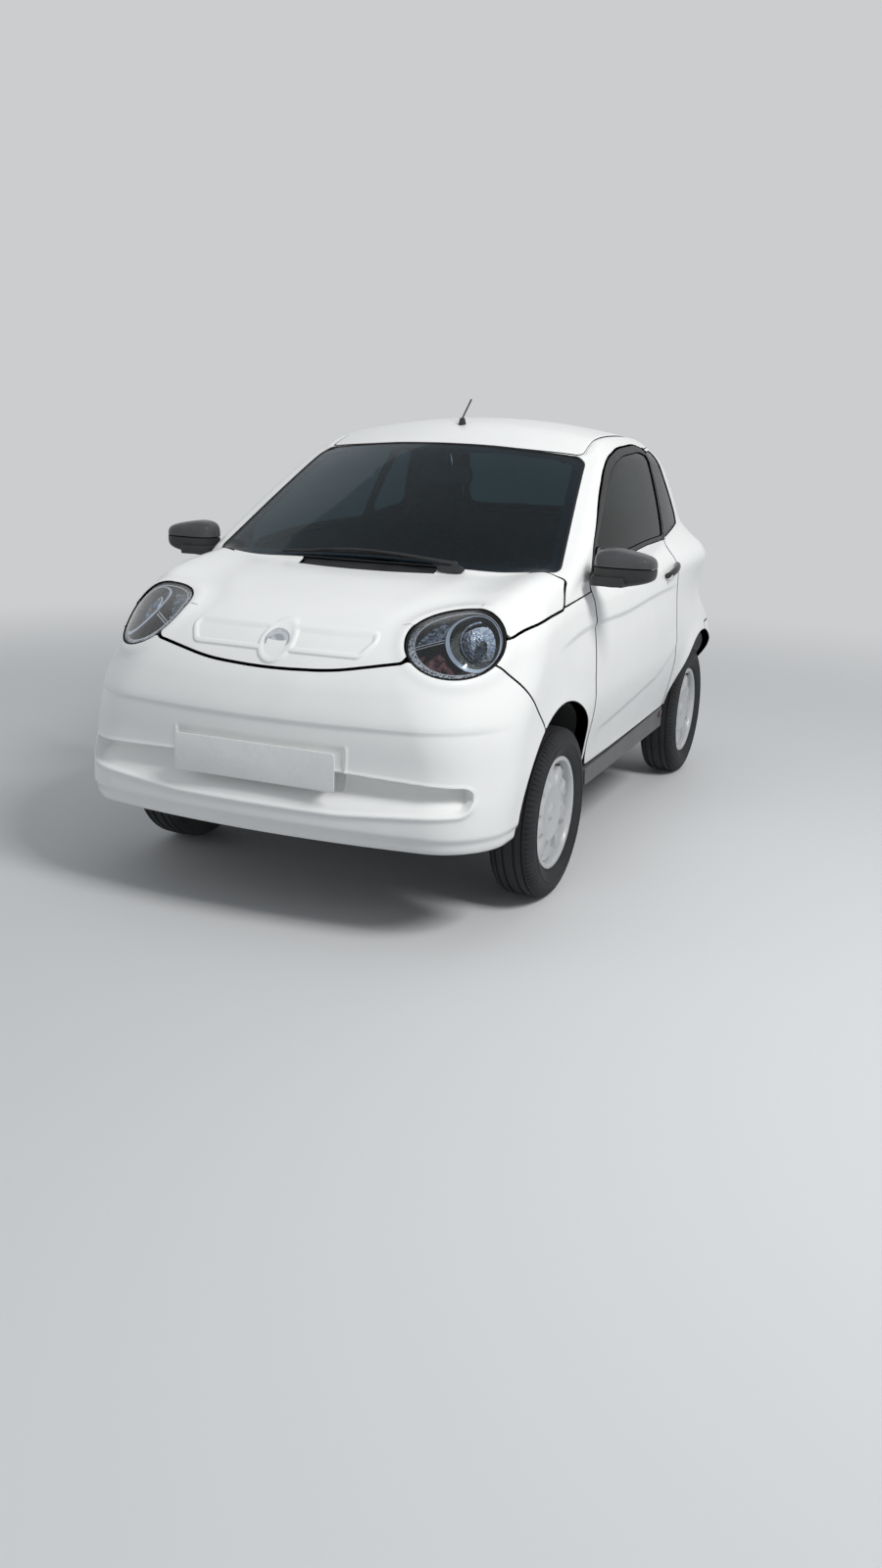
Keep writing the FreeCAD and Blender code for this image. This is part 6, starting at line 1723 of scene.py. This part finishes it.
# Lamps: name, place, target, width and depth, power, whether they show in mirrors and through glass
LIGHTS = [("key", (3.9, -1.9, 4.8), (0, 0, 0.6), (2.0, 2.0), 225.0, False),
          ("sparkle", (3.6, -2.6, 5.6), (0, 0, 0.6), (0.32, 0.32), 22.0, True),
          ("fill", (-5.0, -4.0, 3.0), (0, 0, 0.7), (4.0, 3.0), 18.0, False),
          ("back", (1.0, 6.0, 4.5), (0, 0, 0.8), (5.0, 2.0), 55.0, False)]
CAMERA_PLACE = (1.847, -4.341, 1.413)
# Yaw, pitch and roll in radians
CAMERA_TURN = (-0.404, 0.275, 0.031)
SENSOR_WIDTH = 36.0
FOCAL_SHARE = 1303.0 / 1600.0
CLIP_END = 200.0


def make_floor():
    """Round floor that rises into a wall, so that no edge shows behind the car."""
    points = np.array([(size * math.cos(a), size * math.sin(a), height) for size, height in FLOOR_ROWS
                       for a in circle(FLOOR_COLUMNS)])
    faces = grid_faces(len(FLOOR_ROWS), FLOOR_COLUMNS, False, True)
    mesh = bpy.data.meshes.new("floor")
    mesh.from_pydata(points.tolist(), [], faces)
    mesh.polygons.foreach_set("use_smooth", np.ones(len(faces), bool))
    floor = bpy.data.objects.new("floor", mesh)
    bpy.context.scene.collection.objects.link(floor)
    made = material("floor_pale", FLOOR_COLOUR, 0.85)
    nodes, links = made.node_tree.nodes, made.node_tree.links
    place_node = nodes.new("ShaderNodeNewGeometry")
    away = nodes.new("ShaderNodeVectorMath")
    away.operation = "LENGTH"
    links.new(place_node.outputs["Position"], away.inputs[0])
    rise = nodes.new("ShaderNodeMapRange")
    rise.interpolation_type = "SMOOTHSTEP"
    rise.inputs["From Min"].default_value = BACKDROP_FROM
    rise.inputs["From Max"].default_value = BACKDROP_TO
    links.new(away.outputs["Value"], rise.inputs["Value"])
    glow = nodes.new("ShaderNodeEmission")
    glow.inputs["Color"].default_value = (*BACKDROP_COLOUR, 1.0)
    glow.inputs["Strength"].default_value = 1.0
    mix = nodes.new("ShaderNodeMixShader")
    links.new(rise.outputs["Result"], mix.inputs["Fac"])
    links.new(nodes["Principled BSDF"].outputs["BSDF"], mix.inputs[1])
    links.new(glow.outputs["Emission"], mix.inputs[2])
    links.new(mix.outputs["Shader"], nodes["Material Output"].inputs["Surface"])
    mesh.materials.append(made)
    floor.visible_diffuse = False
    floor.visible_shadow = False


def make_light(name, spot, target, size, power, mirrored):
    data = bpy.data.lights.new(name, "AREA")
    data.shape = "ELLIPSE"
    data.size, data.size_y = size
    data.energy = power
    lamp = bpy.data.objects.new(name, data)
    lamp.location = spot
    lamp.rotation_euler = (Vector(target) - Vector(spot)).to_track_quat("-Z", "Y").to_euler()
    lamp.visible_glossy = mirrored
    lamp.visible_transmission = mirrored
    bpy.context.scene.collection.objects.link(lamp)


def make_camera():
    yaw, pitch, roll = CAMERA_TURN
    forward = Vector((math.sin(yaw) * math.cos(pitch), math.cos(yaw) * math.cos(pitch), -math.sin(pitch)))
    right = forward.cross(Vector((0, 0, 1))).normalized()
    up = right.cross(forward)
    right_rolled = right * math.cos(roll) + up * math.sin(roll)
    up_rolled = up * math.cos(roll) - right * math.sin(roll)
    data = bpy.data.cameras.new("camera")
    data.sensor_fit = "AUTO"
    data.sensor_width = SENSOR_WIDTH
    data.lens = SENSOR_WIDTH * FOCAL_SHARE
    data.clip_end = CLIP_END
    camera = bpy.data.objects.new("camera", data)
    basis = Matrix((right_rolled, up_rolled, -forward)).transposed()
    camera.matrix_world = Matrix.Translation(CAMERA_PLACE) @ basis.to_4x4()
    bpy.context.scene.collection.objects.link(camera)
    bpy.context.scene.camera = camera


make_floor()
for light in LIGHTS:
    make_light(*light)
world = bpy.data.worlds.new("world")
world.use_nodes = True
world.node_tree.nodes["Background"].inputs["Color"].default_value = (*SKY_COLOUR, 1.0)
world.node_tree.nodes["Background"].inputs["Strength"].default_value = SKY_STRENGTH
bpy.context.scene.world = world
bpy.context.scene.view_settings.view_transform = "Standard"
make_camera()


bpy.context.view_layer.update()
